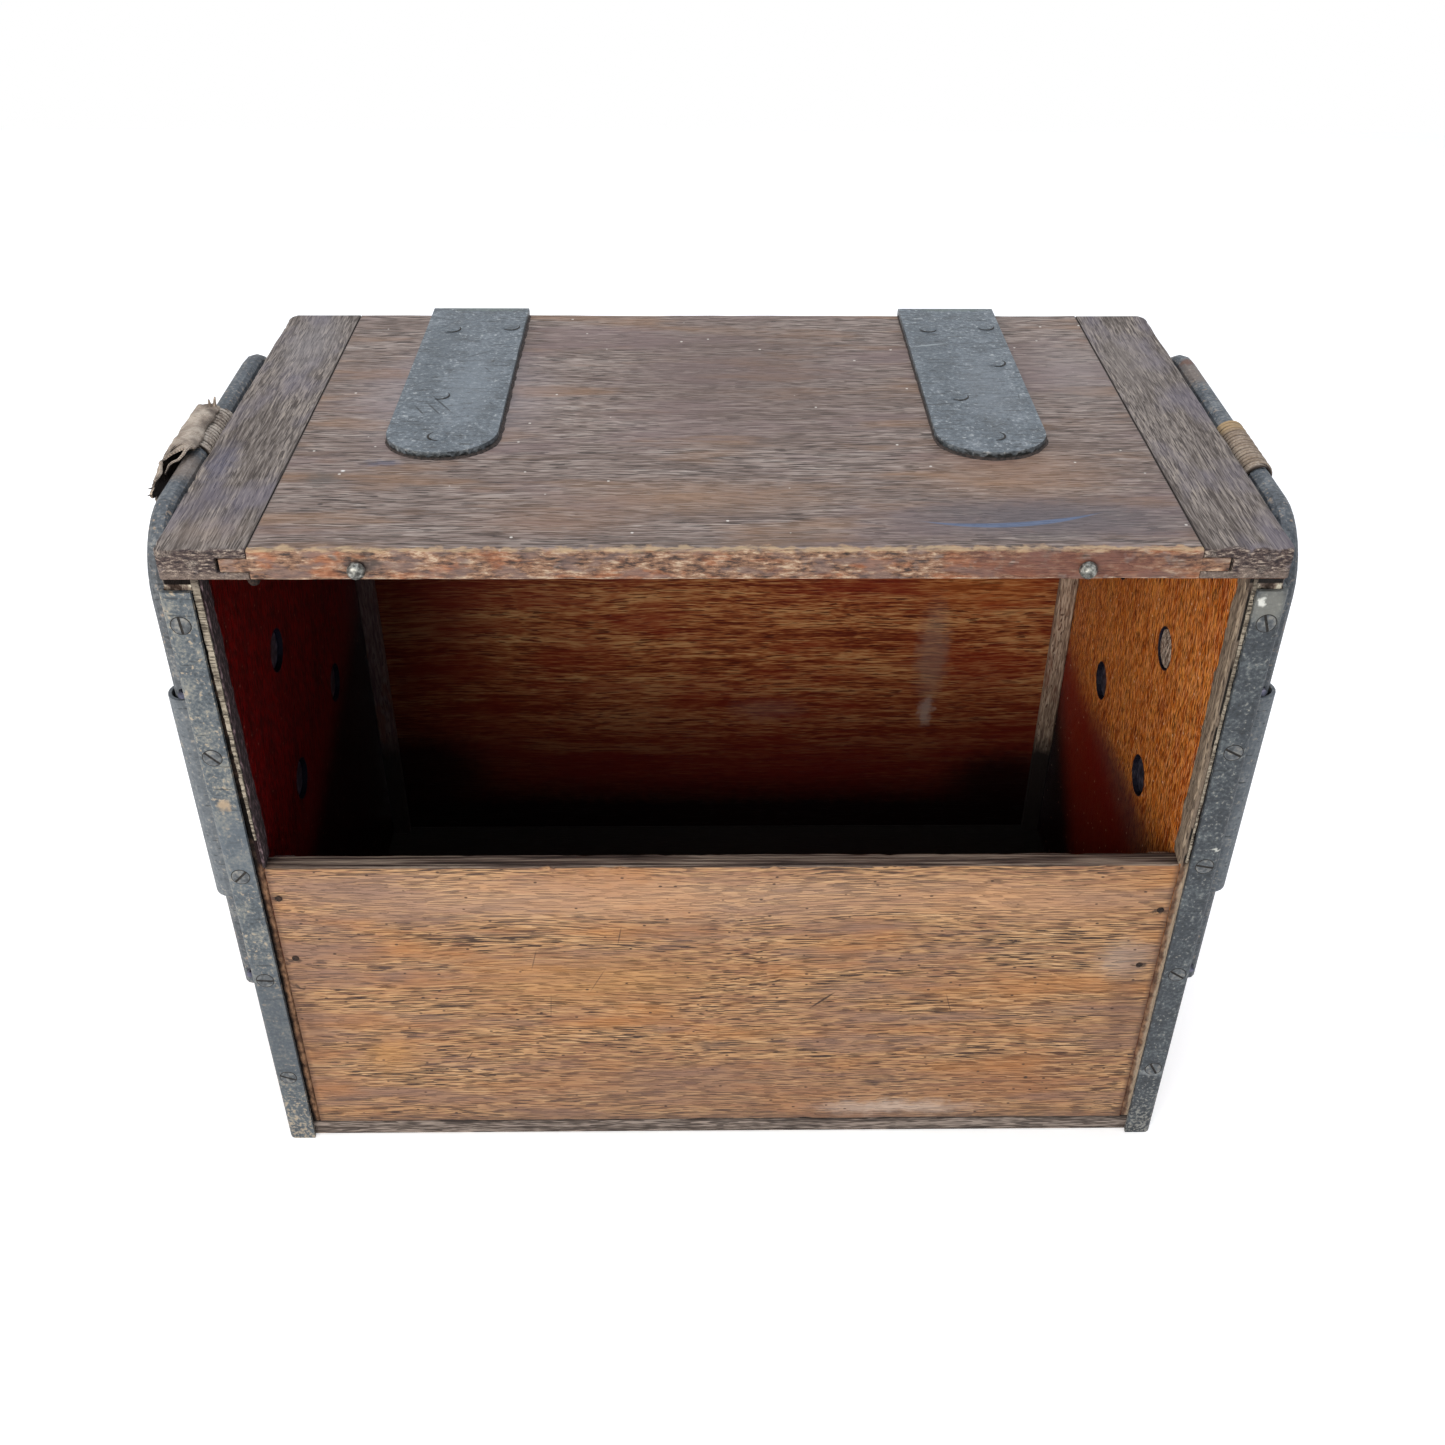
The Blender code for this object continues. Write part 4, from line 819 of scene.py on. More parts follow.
tone = stain(tree, tone, place, "#2a1d18", (-0.2236, -0.0350, 0.332), (0.02, 0.0022, 0.02), strength=0.85)
bar_low, bar_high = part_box("right_handle")
BAR_RADIUS = 0.00475
mirrored = add(tree, "VectorMath", place, operation="ABSOLUTE")
bar_middle = ((bar_low.x + bar_high.x) / 2, 0.0, bar_high.z - BAR_RADIUS)
from_bar = add(tree, "VectorMath", mirrored, bar_middle, operation="SUBTRACT")
from_bar = add(tree, "VectorMath", from_bar, (1.0, 0.0, 1.0), operation="MULTIPLY")
from_bar = add(tree, "VectorMath", from_bar, operation="LENGTH")
# The furrows between the turns, which lie deeper than the crowns of the cord, are painted dark: painted shade.
tone = laid(tree, tone, "#2b211b", from_bar, BAR_RADIUS + 0.00155, BAR_RADIUS + 0.00100)
close_finish(tree, tone, 0.8, strands, 0.0003)

WHIP_STARTS = {"left": -0.03375, "right": -0.05225}
WHIP_TURNS = {"left": 16, "right": 18}
bars = {}
for side, sign in SIGNS.items():
    low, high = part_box(side + "_handle")
    bars[side] = Vector(((low.x + high.x) / 2, BAR_RADIUS + CORD_HALF_THICK, high.z - BAR_RADIUS))
    part = whipping_part(bars[side], WHIP_STARTS[side], WHIP_TURNS[side], 31.0 + sign)
    cord = piece(side + "_grip_whipping", [part], whipping_cord, side + "_handle", 60)
    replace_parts(cord, side + "_handle_whipping")

torn_canvas, tree = new_finish("cotton canvas, faded and torn")
# Plain woven cotton duck, sun-bleached tan outside and painted near black inside as shade in the hollow: matt, with a
# visible weave.
place = add(tree, "TexCoord").outputs["Object"]
THREAD = 0.0008  # Drawn a little coarser than the real thread, so that the weave shows in the render.
weft = add(tree, "TexWave", place, Scale=0.05 * math.tau / THREAD, Distortion=2.0, Detail=2.0, Detail_Scale=3.0,
           bands_direction="Y")
clouds = add(tree, "TexNoise", place, Scale=130.0, Detail=5.0, Roughness=0.65)
tone = add(tree, "ValToRGB", clouds, stops=[(0.36, "#75695e"), (0.5, "#a09284"), (0.64, "#c0b3a3")])
woven = add(tree, "Mix", 0.35, tone, weft.outputs["Color"], data_type="RGBA", blend_type="OVERLAY")
facing = add(tree, "TexCoord").outputs["Normal"]
bar_line = add(tree, "VectorMath", place, (bars["left"].x, 0.0, bars["left"].z), operation="SUBTRACT")
flat_line = add(tree, "VectorMath", bar_line, (1.0, 0.0, 1.0), operation="MULTIPLY")
inner_face_shade = add(tree, "VectorMath", flat_line, facing, operation="DOT_PRODUCT")
colour = laid(tree, woven, "#1d130f", inner_face_shade, 0.0, -0.002)
close_finish(tree, colour, 0.95, weft.outputs["Fac"], 0.0003)

FLAP_FRONT_Y = -0.0675
FLAP_BACK_Y = 0.0010
FLAP_THICK = 0.0009
FLAP_ROWS = 56
FLAP_COLUMNS = 44


def flap_point(along, around, lift):
    """A point of the canvas: it hugs the whipping on top, bellies outward and is torn ragged at its ends."""
    opened = min(1.0, max(0.0, (0.40 - along) / 0.18))
    top = 72 + 66 * opened * opened * (3 - 2 * opened) + 10 * noise.noise((along * 5, 1, 1)) + (
        (6 + 8 * opened) * noise.noise((along * 19, 2, 2)))
    bottom = 228 + 14 * noise.noise((along * 4, 7, 3))
    angle = math.radians(top + (bottom - top) * around)
    front = FLAP_FRONT_Y + 0.006 * noise.noise((around * 4, 3, 4)) + 0.003 * noise.noise((around * 17, 6, 4)) + (
        0.006 * max(0.0, 0.4 - around))
    back = FLAP_BACK_Y + 0.003 * noise.noise((around * 6, 8, 5)) + 0.002 * noise.noise((around * 21, 8, 5))
    y = front + (back - front) * along
    hug = max(math.sin(math.pi * min(1.0, around * 1.1)) ** 0.8, 0.95 * opened * (1 - 0.5 * around))
    belly = 0.0036 * hug * min(1.0, 0.45 + 1.6 * math.sin(math.pi * min(1.0, 1.1 - along)))
    crumple = 0.0007 * noise.noise((along * 7, around * 5, 11)) + 0.0003 * noise.noise((along * 20, around * 14, 12))
    radius = BAR_RADIUS + 2 * CORD_HALF_THICK + 0.0006 + belly + crumple + lift
    return (bars["left"].x + radius * math.cos(angle), y, bars["left"].z + radius * math.sin(angle))


def cloth_part(point_at, rows, columns, thick):
    """A closed thin sheet from a function of two shares and a lift, with its two faces joined round the rim."""
    points = []
    for lift in (0.0, thick):
        for row in range(rows + 1):
            points += [point_at(row / rows, column / columns, lift) for column in range(columns + 1)]
    wide = columns + 1
    layer = wide * (rows + 1)
    faces = []
    for start in (0, layer):
        for row in range(rows):
            for column in range(columns):
                at = start + row * wide + column
                faces.append([at, at + 1, at + wide + 1, at + wide])
    rim = list(range(wide))
    rim += [row * wide + columns for row in range(1, rows + 1)]
    rim += [rows * wide + column for column in range(columns - 1, -1, -1)]
    rim += [row * wide for row in range(rows - 1, 0, -1)]
    for here, after in zip(rim, rim[1:] + rim[:1]):
        faces.append([here, after, after + layer, here + layer])
    return points, faces


flap = piece("left_canvas_flap", [cloth_part(flap_point, FLAP_ROWS, FLAP_COLUMNS, FLAP_THICK)], torn_canvas,
             "left_handle", 60)
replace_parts(flap, "left_handle_canvas")


THREAD_SIDES = 6


def thread_part(path, radius):
    """A loose thread as a thin round tube along a few points."""
    points = []
    for number, place in enumerate(path):
        before = path[max(0, number - 1)]
        after = path[min(len(path) - 1, number + 1)]
        way = (Vector(after) - Vector(before)).normalized()
        facing = way.to_track_quat("Z", "Y").to_matrix()
        thin = radius * (1 - 0.6 * number / (len(path) - 1))
        for side in range(THREAD_SIDES):
            angle = math.tau * side / THREAD_SIDES
            points.append(tuple(Vector(place) + facing @ Vector((thin * math.cos(angle), thin * math.sin(angle), 0))))
    return points, ring_faces(THREAD_SIDES, len(path))


threads = []
for along, around, length, lean, thick in (
    (0.97, 0.10, 0.0036, 0.3, 0.00095), (0.97, 0.16, 0.0026, -0.1, 0.0009), (0.02, 0.25, 0.004, 0.1, 0.0004),
    (0.01, 0.45, 0.003, -0.2, 0.0004)):
    root = Vector(flap_point(along, around, FLAP_THICK / 2))
    outward = Vector((root.x - bars["left"].x, 0, root.z - bars["left"].z)).normalized()
    if along < 0.1:
        outward = (outward * 0.3 + Vector((0, -1, 0))).normalized()
    curl = Vector((lean, 0.3, 0.5))
    threads.append(thread_part([tuple(root + outward * length * t + curl * length * 0.35 * t * t)
                                for t in (0, 0.2, 0.4, 0.6, 0.8, 1.0)], thick))
# One torn strip hangs across the opening.
strip_ends = Vector(flap_point(0.36, 0.03, FLAP_THICK / 2)), Vector(flap_point(0.13, 0.06, -0.0012))
threads.append(thread_part([tuple(strip_ends[0].lerp(strip_ends[1], t) + Vector((
    0.0005 * math.sin(7 * t), 0, 0.0006 * math.sin(11 * t)))) for t in (0, 0.15, 0.3, 0.45, 0.6, 0.75, 0.9, 1.0)],
    0.00085))
fringe = piece("left_canvas_threads", threads, torn_canvas, "left_handle")


# Lid: an oak panel with a tongue at each end, held by a grooved cross-grain batten there. It has
# stood out in the weather, so its top is grey and rubbed, and its arrises are worn pale.

panel_low, panel_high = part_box("lid_panel")
left_batten_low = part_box("lid_left_batten")[0]
right_batten_low, right_batten_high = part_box("lid_right_batten")
LID_TOP_Z = panel_high.z
LID_BOTTOM_Z = panel_low.z
LID_FRONT_Y = panel_low.y
JOINT_X = right_batten_low.x
TONGUE_LOW = 0.0033
TONGUE_HIGH = 0.0089

lid_oak, tree = new_finish("weathered oak, grey with old varnish")
# Old varnish has worn through: purple-grey weathered wood, tan where the finish is left, fine dark pores.
tones = [(0.29, "#493b35"), (0.41, "#67564d"), (0.52, "#7e6e66"), (0.63, "#91837a"), (0.75, "#a5988f")]
wood = oak(tree, "X", tones, (0.10, 0.008), (0.026, 0.0009), (0.0105, 0.00058), "#2a1d18", cover=0.88, level=0.578,
           seed=27.0)
colour = clouded(tree, wood.colour, wood.place, "#74605f", (0.09, 0.03, 0.03), 0.50, 0.66, 0.6, seed=5.0)
colour = clouded(tree, colour, wood.place, "#84644a", (0.08, 0.018, 0.02), 0.53, 0.66, 0.6, seed=12.0)
for code, x, y, half_x, half_y, strength in [
    ("#8a6a50", -0.014, -0.080, 0.085, 0.022, 0.55),
    ("#8f6c50", 0.120, -0.060, 0.060, 0.040, 0.50),
    ("#86654e", -0.066, -0.100, 0.050, 0.016, 0.45),
    ("#5f4d47", 0.010, 0.045, 0.085, 0.090, 0.60),
    ("#a0979b", -0.120, 0.020, 0.060, 0.080, 0.50),
    ("#4d484c", 0.125, -0.098, 0.090, 0.028, 0.78),
    ("#8a817e", 0.165, 0.050, 0.030, 0.060, 0.45),
    ("#4d4a47", -0.1638, -0.0620, 0.011, 0.010, 0.65),
    ("#545e78", -0.1418, -0.0499, 0.013, 0.005, 0.45),
    ("#4e4038", 0.000, -0.117, 0.150, 0.006, 0.35),
    # The two soft grey patches round the hinge leaves are partly dirt and partly painted shadow of the leaves.
    ("#5b524e", -0.1180, 0.036, 0.034, 0.100, 0.45),
    ("#5b524e", 0.1163, 0.036, 0.034, 0.100, 0.45),
]:
    colour = stain(tree, colour, wood.ragged, code, (x, y, LID_TOP_Z), (half_x, half_y, 0.006), edge=0.9,
                   strength=strength)
for code, x, y, half_x, half_y, strength in [
    ("#dcd8d2", -0.1567, -0.0564, 0.0012, 0.0010, 1.00),
    ("#2c211d", -0.1602, -0.0855, 0.0016, 0.0012, 0.90),
]:
    colour = stain(tree, colour, wood.place, code, (x, y, LID_TOP_Z), (half_x, half_y, 0.006), strength=strength,
                   edge=0.6)
# A crescent of blue crayon lies across the front right: part of a ring, thickest in its middle.
STROKE_CENTRE = (0.1025, -0.0012, 0.0)
STROKE_RADIUS = 0.1024
STROKE_HALF_WIDE = 0.0022
STROKE_HALF_LONG = 0.038
STROKE_MIDDLE_X = 0.112
around = add(tree, "VectorMath", wood.place, STROKE_CENTRE, operation="SUBTRACT")
around = add(tree, "VectorMath", around, (1.0, 1.0, 0.0), operation="MULTIPLY")
around = add(tree, "VectorMath", around, operation="LENGTH")
off_ring = add(tree, "Math", around, STROKE_RADIUS, operation="SUBTRACT")
off_ring = add(tree, "Math", off_ring, operation="ABSOLUTE")
along = add(tree, "Math", wood.split["X"], -STROKE_MIDDLE_X, operation="ADD")
along = add(tree, "Math", along, 1 / STROKE_HALF_LONG, operation="MULTIPLY")
along = add(tree, "Math", along, along, operation="MULTIPLY")
reach = add(tree, "Math", off_ring, 1 / STROKE_HALF_WIDE, along, operation="MULTIPLY_ADD")
in_front = add(tree, "MapRange", wood.split["Y"], -0.080, -0.085)
colour = laid(tree, colour, "#526583", reach, 1.0, 0.65, 0.75, within=in_front)
off_middle = add(tree, "Math", wood.split["X"], operation="ABSOLUTE")
colour = laid(tree, colour, "#1f1814", off_middle, JOINT_X - 0.0009, JOINT_X - 0.0005, 0.9)
flecks = add(tree, "TexVoronoi", wood.place, Scale=75.0)
colour = laid(tree, colour, "#cfc8be", flecks.outputs["Distance"], 0.055, 0.035)
edge_tone = add(tree, "ValToRGB", grained(tree, wood.place, (150, 560, 480), 4.0, 0.72),
                stops=[(0.36, "#2a1e19"), (0.43, "#523b30"), (0.495, "#7b5b46"), (0.56, "#91725c"), (0.64, "#b5a089")])
edge_tone = clouded(tree, edge_tone, wood.place, "#9c5c36", (0.020, 0.03, 0.007), 0.52, 0.62, 0.5, seed=3.0)
edge_tone = clouded(tree, edge_tone, wood.place, "#6d5a55", (0.016, 0.03, 0.006), 0.50, 0.60, 0.7, seed=14.0)
edge_tone = stain(tree, edge_tone, wood.ragged, "#39302d", (-0.1355, LID_FRONT_Y, 0.3315), (0.009, 0.01, 0.004),
                  strength=0.85)
edge_tone = stain(tree, edge_tone, wood.ragged, "#694034", (0.130, LID_FRONT_Y, 0.331), (0.062, 0.01, 0.011),
                  strength=0.75)
front_face = add(tree, "MapRange", wood.torn["Y"], LID_FRONT_Y + 0.0030, LID_FRONT_Y + 0.0012)
colour = add(tree, "Mix", front_face, colour, edge_tone, data_type="RGBA")
rim_noise = grained(tree, wood.place, (140, 700, 700), 4.0, 0.7)
rough_z = add(tree, "Math", rim_noise, 0.0045, wood.split["Z"], operation="MULTIPLY_ADD")
for near, far, code, strength in ((0.0030, 0.0022, "#cbb8a2", 0.9), (0.0140, 0.0150, "#b39a78", 0.75)):
    colour = laid(tree, colour, code, rough_z, LID_BOTTOM_Z + near, LID_BOTTOM_Z + far, strength, within=front_face)
colour = laid(tree, colour, "#6a3418", wood.split["Z"], LID_BOTTOM_Z + 0.0004, LID_BOTTOM_Z + 0.0002)
close_finish(tree, colour, 0.58, wood.height, 0.0003, Specular_IOR_Level=0.35)

panel_ring = [(LID_FRONT_Y, LID_BOTTOM_Z), (panel_high.y, LID_BOTTOM_Z), (panel_high.y, LID_TOP_Z),
              (LID_FRONT_Y, LID_TOP_Z)]
panel_end = JOINT_X - 0.0003
panel_parts = [worn_length(lambda x: panel_ring, "X", -panel_end, panel_end, [0.0009, 0.0006, 0.0007, 0.0014],
                           0.00025, 41.0, spacing=0.006, sway=0.00022)]
tongue_ring = [(y, LID_BOTTOM_Z + z) for y, z in (
    (LID_FRONT_Y + 0.0002, TONGUE_LOW), (panel_high.y - 0.0002, TONGUE_LOW),
    (panel_high.y - 0.0002, TONGUE_HIGH), (LID_FRONT_Y + 0.0002, TONGUE_HIGH))]
for start, end in ((panel_low.x, -panel_end + 0.0005), (panel_end - 0.0005, panel_high.x)):
    panel_parts.append(worn_length(lambda x: tongue_ring, "X", start, end, [0.0003] * 4, 0.0003, 43.0,
                                   spacing=0.02, step=0.003))
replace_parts(piece("lid_panel_worn", panel_parts, lid_oak, "lid"), "lid_panel")

batten_oak, tree = new_finish("weathered oak end batten")
# The same oak with its grain across: greyer and drier, with pale ridges and a beige worn front end.
tones = [(0.28, "#3d3430"), (0.42, "#5a514a"), (0.53, "#706761"), (0.64, "#857b73"), (0.76, "#9a8e82")]
wood = oak(tree, "Y", tones, (0.07, 0.006), (0.020, 0.0010), (0.010, 0.00065), "#2c2320", cover=0.75, level=0.605,
           seed=37.0)
colour = clouded(tree, wood.colour, wood.place, "#6a6470", (0.02, 0.05, 0.02), 0.50, 0.66, 0.5, seed=6.0)
for code, x, y, half_x, half_y, strength in [
    ("#5d5c70", -0.2080, -0.050, 0.010, 0.030, 0.50),
    ("#8d7d72", -0.1980, -0.108, 0.020, 0.016, 0.45),
    ("#5c6478", 0.1768, -0.054, 0.0012, 0.010, 0.60),
    ("#3f6a56", 0.2133, -0.1235, 0.0022, 0.0022, 0.75),
    ("#837a74", 0.1950, 0.060, 0.020, 0.050, 0.40),
    ("#8f8a8b", -0.1980, 0.080, 0.020, 0.060, 0.45),
]:
    colour = stain(tree, colour, wood.ragged, code, (x, y, LID_TOP_Z), (half_x, half_y, 0.006), edge=0.9,
                   strength=strength)
off_middle = add(tree, "Math", wood.split["X"], operation="ABSOLUTE")
colour = laid(tree, colour, "#1f1814", off_middle, JOINT_X + 0.0005, JOINT_X + 0.0002, 0.9)
end_noise = grained(tree, wood.place, (300, 700, 900), 4.0, 0.75, Rotation=(0, 0.7, 0))
end_tone = add(tree, "ValToRGB", end_noise,
               stops=[(0.39, "#1c1315"), (0.48, "#3d3030"), (0.55, "#62554e"), (0.64, "#a89b8e")])
front_end = add(tree, "MapRange", wood.torn["Y"], LID_FRONT_Y + 0.0018, LID_FRONT_Y + 0.0004)
colour = add(tree, "Mix", front_end, colour, end_tone, data_type="RGBA")
colour = laid(tree, colour, "#8a7b70", wood.torn["Z"], LID_BOTTOM_Z + 0.0044, LID_BOTTOM_Z + 0.0022, 0.45,
              within=front_end)
colour = laid(tree, colour, "#5e3520", wood.split["Z"], LID_BOTTOM_Z + 0.0004, LID_BOTTOM_Z + 0.0002)
close_finish(tree, colour, 0.68, wood.height, 0.0004, Specular_IOR_Level=0.35)

FRONT_CORNER = 0.0025
BACK_CORNER = 0.0050
GROOVE_LOW = 0.0030
GROOVE_HIGH = 0.0092
GROOVE_DEEP = 0.012
for side, sign in SIGNS.items():
    outer_x = left_batten_low.x if sign < 0 else right_batten_high.x

    def batten_ring(y, sign=sign, outer_x=outer_x):
        """The batten's section with its groove; near the ends its outer side curves in."""
        wide = sign * outer_x
        for off_end, radius in ((y - LID_FRONT_Y, FRONT_CORNER), (panel_high.y - y, BACK_CORNER)):
            wide -= radius - math.sqrt(radius ** 2 - max(0.0, radius - max(0.0, off_end)) ** 2)
        deep = JOINT_X + GROOVE_DEEP
        ring = [(JOINT_X, LID_BOTTOM_Z), (wide, LID_BOTTOM_Z), (wide, LID_TOP_Z), (JOINT_X, LID_TOP_Z),
                (JOINT_X, LID_BOTTOM_Z + GROOVE_HIGH), (deep, LID_BOTTOM_Z + GROOVE_HIGH),
                (deep, LID_BOTTOM_Z + GROOVE_LOW), (JOINT_X, LID_BOTTOM_Z + GROOVE_LOW)]
        return [(sign * x, z) for x, z in (ring if sign > 0 else ring[::-1])]

    wear = [0.0004, 0.0008, 0.0009, 0.0004, 0.0002, 0.0002, 0.0002, 0.0002]
    part = worn_length(batten_ring, "Y", LID_FRONT_Y, panel_high.y, wear if sign > 0 else wear[::-1], 0.0006,
                       47.0 + sign, spacing=0.004, step=0.0022, sway=0.00018)
    batten = piece(f"lid_{side}_batten_worn", [part], batten_oak, "lid")
    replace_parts(batten, f"lid_{side}_batten")

# Round-headed drive studs without paint: grey-green oxide with a soft shine on the dome.
stud_metal = gritty("bare steel stud, grey", 600.0, 4.0,
                    [(0.36, "#3a3a37"), (0.5, "#696a66"), (0.64, "#9a9b95")], 0.4, 0.0004, 0.55)
for side in ("left", "right"):
    dress(f"lid_{side}_stud", stud_metal)

pin_profile = [(0.0001, 0.0), (0.0022, 0.0), (0.0025, 0.0008), (0.0024, 0.0030), (0.0016, 0.0042), (0.0001, 0.0046)]
under_pin = turned_part(pin_profile, 14, Vector((-0.1806, -0.1194, LID_BOTTOM_Z + 0.0006)), Vector((0, 0, -1)))
piece("lid_underside_pin", [under_pin], rusty_nail, "lid")


# Strap hinges: steel leaves with round tips, painted blue-grey over their screws, whose knuckles
# turn on a loose pin behind the lid. A dark line runs along their edges on the wood: dirt and old paint, with painted
# shade on the leaves' sides and painted shadow on the wood.

leaf_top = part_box("lid_left_hinge_leaf")[1].z
leaf_spots = []
# On each leaf a lighter patch is painted where the paint catches the light, a painted highlight, beside a darker patch;
# a near black band is painted low on the leaf's sides as painted shade.
for middle, lit in ((-0.1199, "#727b82"), (0.1144, "#697076")):
    leaf_spots += [(lit, (middle + 0.006, 0.020, leaf_top), (0.016, 0.055, 0.004), 0.55),
                   ("#434c53", (middle - 0.014, 0.060, leaf_top), (0.010, 0.060, 0.004), 0.45),
                   ("#5b6762", (middle + 0.004, 0.119, leaf_top), (0.028, 0.003, 0.005), 0.70),
                   ("#101415", (middle, -0.030, LID_TOP_Z), (0.070, 0.190, 0.0030), 1.0)]
# Single marks: scratches and nicks on both leaves, an empty pin hole on the left and a pale flake on the right.
for code, x, y, half_long, half_wide, turn in (
    ("#1f2529", -0.1237, 0.0026, 0.0150, 0.00065, -1.02), ("#1f2529", -0.1269, -0.0020, 0.0102, 0.00065, -1.04),
    ("#1f2529", -0.1330, -0.0034, 0.0085, 0.00065, -1.06), ("#2b3236", -0.1085, 0.0424, 0.0040, 0.00050, -1.0),
    ("#07090a", -0.1068, 0.0520, 0.0015, 0.00110, 1.2), ("#2b3236", -0.1150, 0.0600, 0.0140, 0.00050, 0.62),
    ("#2b3236", -0.1060, 0.0720, 0.0080, 0.00050, 0.25), ("#2b3236", 0.1115, 0.0470, 0.0160, 0.00050, -0.30),
    ("#2b3236", 0.1190, -0.0190, 0.0065, 0.00050, 0.60), ("#3c4448", 0.1245, 0.0150, 0.0085, 0.00045, 0.05),
    ("#3c4448", 0.1330, 0.0110, 0.0045, 0.00045, 1.45), ("#8f9698", 0.1000, 0.0720, 0.0120, 0.00100, 0.25),
):
    leaf_spots.append((code, (x, y, leaf_top), (half_long, half_wide, 0.002), 0.9, turn))
hinge_paint = steel_paint("thick blue grey paint, scratched", [(0.35, "#394147"), (0.49, "#545d64"), (0.65, "#7d8489")],
                          "#a3a7a7", 0.03, 33.0, spots=leaf_spots, scratch=0.75, roughness=(0.40, 0.56),
                          relief=0.0009)
# Grease and dust caught against the leaf, with painted shade and shadow: dull brown-black with a broken outer edge.
hinge_dirt_and_shadow = gritty("dirt and shadow line, black and furry", 700.0, 3.0, [(0.36, "#15100f"), (0.6, "#3a302c")], 0.9, 0.0005)

HEAD_RADIUS = 0.0041


def painted_head_parts(base, shade_facing):
    """A screw head under thick paint: a low dome, with a dark crescent of painted shade on one side of it."""
    dome = turned_part([(0.0001, -0.0004), (HEAD_RADIUS, -0.0004), (HEAD_RADIUS, 0.0001),
                        (HEAD_RADIUS - 0.0007, 0.00032), (0.0001, 0.0004)], 28, base, Vector((0, 0, 1)))
    points = []
    count = 18
    for step in range(count + 1):
        angle = shade_facing + math.radians(75) * (2 * step / count - 1)
        half_wide = 0.0001 + 0.00038 * math.sin(math.pi * step / count)
        for radius, height in ((-half_wide, -0.0004), (half_wide, -0.0004), (half_wide, 0.0002), (-half_wide, 0.0002)):
            far = HEAD_RADIUS + 0.0001 + radius
            points.append((base.x + far * math.cos(angle), base.y + far * math.sin(angle), base.z + height))
    return dome, (points, ring_faces(4, count + 1))


# Where each painted-over screw sits, and which way its crescent of painted shade faces, in degrees.
LEAF_SCREWS = {
    "left": ((-0.1211, -0.0302, 200), (-0.1261, 0.0123, -40), (-0.1312, 0.0923, -40), (-0.1027, 0.0950, -60)),
    "right": ((0.1157, -0.0299, -20), (0.1060, 0.0115, -60), (0.1290, 0.0500, -35), (0.1023, 0.0930, -95),
              (0.1309, 0.0957, -70)),
}
LEAF_TIP_DEPTH = 0.0207
LEAF_BACK_Y = 0.118
for side, sign in SIGNS.items():
    for node in (f"lid_{side}_hinge_leaf", f"back_{side}_hinge_leaf"):
        dress(node, hinge_paint)
        ease_sheet(node, 0.0005)
    dress(f"{side}_hinge_pin", bolt_steel)
    leaf_low, leaf_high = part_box(f"lid_{side}_hinge_leaf")
    middle_x = (leaf_low.x + leaf_high.x) / 2
    half_wide = (leaf_high.x - leaf_low.x) / 2

    def leaf_edge(share):
        """A point of the leaf's outline and its outward direction, from its back left corner round the tip."""
        straight = LEAF_BACK_Y - (leaf_low.y + LEAF_TIP_DEPTH)
        curve = math.pi * half_wide * 0.93
        far = share * (2 * straight + curve)
        if far < straight:
            return Vector((middle_x - half_wide, LEAF_BACK_Y - far)), Vector((-1, 0))
        if far > straight + curve:
            return Vector((middle_x + half_wide, leaf_low.y + LEAF_TIP_DEPTH + far - straight - curve)), Vector((1, 0))
        angle = math.pi + math.pi * (far - straight) / curve
        way = Vector((math.cos(angle), math.sin(angle)))
        return Vector((middle_x + half_wide * way.x, leaf_low.y + LEAF_TIP_DEPTH * (1 + way.y))), way

    steps = 260
    points = []
    for step in range(steps + 1):
        point, way = leaf_edge(step / steps)
        # The line is wider to the right and front, where the leaf's shadow falls: painted shadow.
        shadow_side_share = 0.5 + 0.5 * max(way.x, -way.y)
        rough = 1 + 0.5 * noise.noise((step / 5.0, sign, 3)) + 0.3 * noise.noise((step / 1.7, sign, 9))
        wide = 0.0017 * shadow_side_share * rough
        for out, height in ((-0.0006, -0.0004), (-0.0006, 0.0009), (0.0001, 0.0008), (wide * 0.4, 0.0004),
                            (wide, -0.0004)):
            points.append((point.x + way.x * out, point.y + way.y * out, LID_TOP_Z + height))
    piece(f"lid_{side}_hinge_dirt_and_shadow", [(points, ring_faces(5, steps + 1))], hinge_dirt_and_shadow, "lid", 80)
    domes, crescents = zip(*[painted_head_parts(Vector((x, y, leaf_top)), math.radians(shade_side))
                             for x, y, shade_side in LEAF_SCREWS[side]])
    piece(f"lid_{side}_hinge_screws", domes, hinge_paint, "lid", 60)
    piece(f"lid_{side}_hinge_screw_shade", crescents, packed_dirt_and_shade, "lid", 60)


# The photographer's table and light: a white floor that keeps the crate's soft shadow, an even white
# surround, and one broad lamp at the left front, which reaches the right inner wall.

floor_mesh = bpy.data.meshes.new("studio_floor")
floor_mesh.from_pydata([(-2.5, -2.5, 0), (2.5, -2.5, 0), (2.5, 1.8, 0), (-2.5, 1.8, 0)], [], [(0, 1, 2, 3)])
floor = new_object("studio_floor", floor_mesh)


def seen_share(tree):
    """One for what the camera sees, straight or in gloss or glass, and nought for the light on the crate."""
    path = add(tree, "LightPath").outputs
    seen = add(tree, "Math", path["Is Camera Ray"], path["Is Transmission Ray"], operation="MAXIMUM")
    return add(tree, "Math", seen, path["Is Glossy Ray"], operation="MAXIMUM")


floor_white, tree = new_finish("white paper")
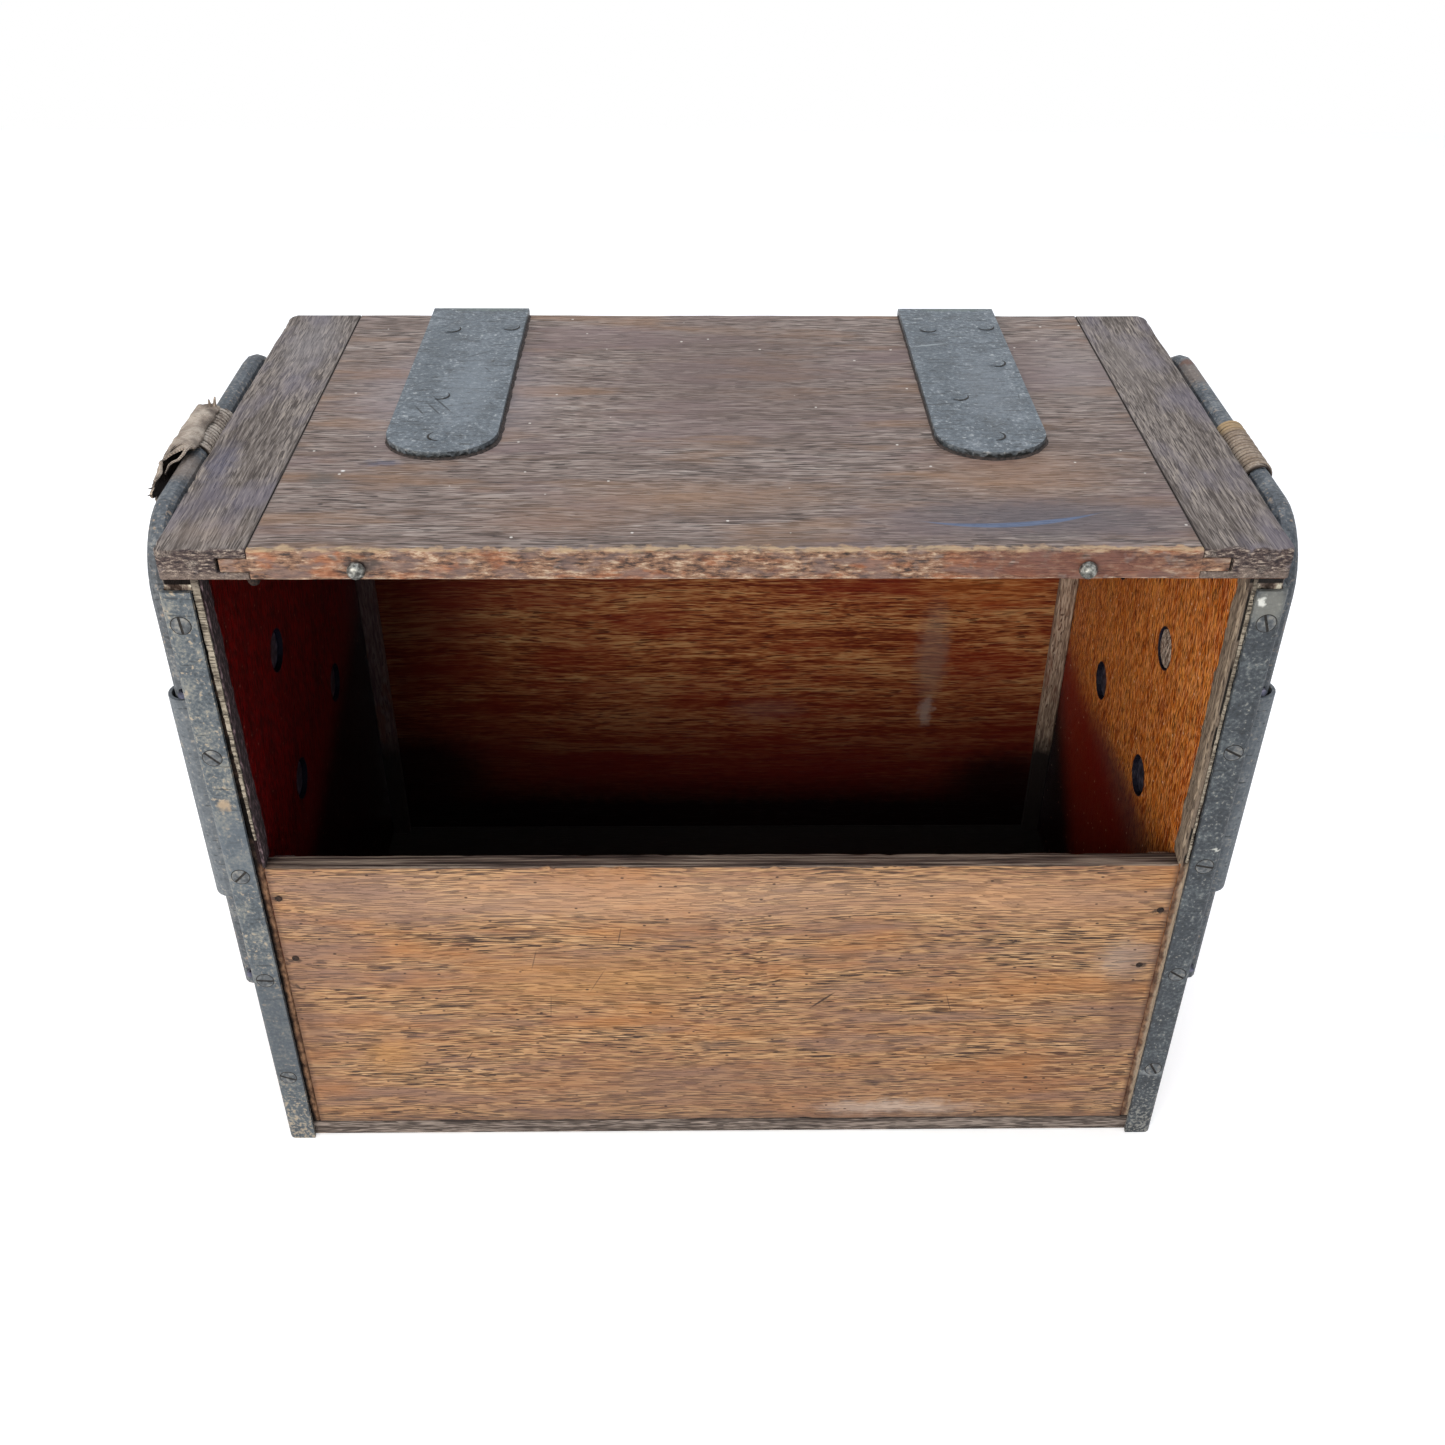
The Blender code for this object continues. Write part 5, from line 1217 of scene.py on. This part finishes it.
# Matt white paper; seen by the camera it glows a little, so that it reads as white but keeps the shadow.
glow = add(tree, "Math", seen_share(tree), 0.42, operation="MULTIPLY")
grain = add(tree, "TexNoise", add(tree, "TexCoord").outputs["Object"], Scale=400.0)
paper = add(tree, "ValToRGB", grain, stops=[(0.3, "#f0f0f0"), (0.7, "#f6f6f6")])
close_finish(tree, paper, 0.9, Emission_Color="#ffffff", Emission_Strength=glow)
floor_mesh.materials.append(floor_white)
floor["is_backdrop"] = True

world = bpy.data.worlds.new("white surround")
bpy.context.scene.world = world
world.use_nodes = True
tree = world.node_tree
tree.nodes.clear()
seen = seen_share(tree)
level = add(tree, "Mix", seen, 0.52, 1.0, data_type="FLOAT")
sky = add(tree, "Mix", seen, "#eef3fb", "#ffffff", data_type="RGBA")
surround = add(tree, "Background", sky, level)
add(tree, "OutputWorld", surround)


def lamp(name, place, target, size, watts, code):
    """A square soft lamp turned toward a point."""
    light = bpy.data.lights.new(name, "AREA")
    light.size = size
    light.energy = watts
    light.color = linear(code)[:3]
    made = new_object(name, light)
    made.location = place
    made.rotation_euler = (Vector(target) - Vector(place)).to_track_quat("-Z", "Y").to_euler()


lamp("key lamp", (-0.95, -1.75, 0.80), (0, 0, 0.22), 1.3, 34.0, "#fff6ec")
lamp("top lamp", (0.1, 0.2, 2.2), (0, 0, 0.3), 1.4, 24.0, "#f2f6ff")

# The camera stands in front of the crate and looks down 36 degrees, as the photograph does.
CAMERA_PLACE = Vector((-0.01044, -0.62302, 0.61626))
CAMERA_YAW = 0.018373
CAMERA_PITCH = 0.621916
CAMERA_ROLL = 0.007908
FOCAL_LENGTH = 37.66

camera_data = bpy.data.cameras.new("camera")
camera_data.sensor_width = 36.0
camera_data.lens = FOCAL_LENGTH
camera_data.clip_start = 0.01
camera_data.clip_end = 100.0
camera = new_object("camera", camera_data)
forward = Vector((math.sin(CAMERA_YAW) * math.cos(CAMERA_PITCH), math.cos(CAMERA_YAW) * math.cos(CAMERA_PITCH),
                  -math.sin(CAMERA_PITCH)))
level_right = Vector((math.cos(CAMERA_YAW), -math.sin(CAMERA_YAW), 0.0))
level_up = level_right.cross(forward)
right = level_right * math.cos(CAMERA_ROLL) + level_up * math.sin(CAMERA_ROLL)
up = level_up * math.cos(CAMERA_ROLL) - level_right * math.sin(CAMERA_ROLL)
turning = Matrix((right, up, -forward)).transposed().to_4x4()
turning.translation = CAMERA_PLACE
camera.matrix_world = turning
bpy.context.scene.camera = camera
bpy.context.scene.view_settings.view_transform = "Standard"

low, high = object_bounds()
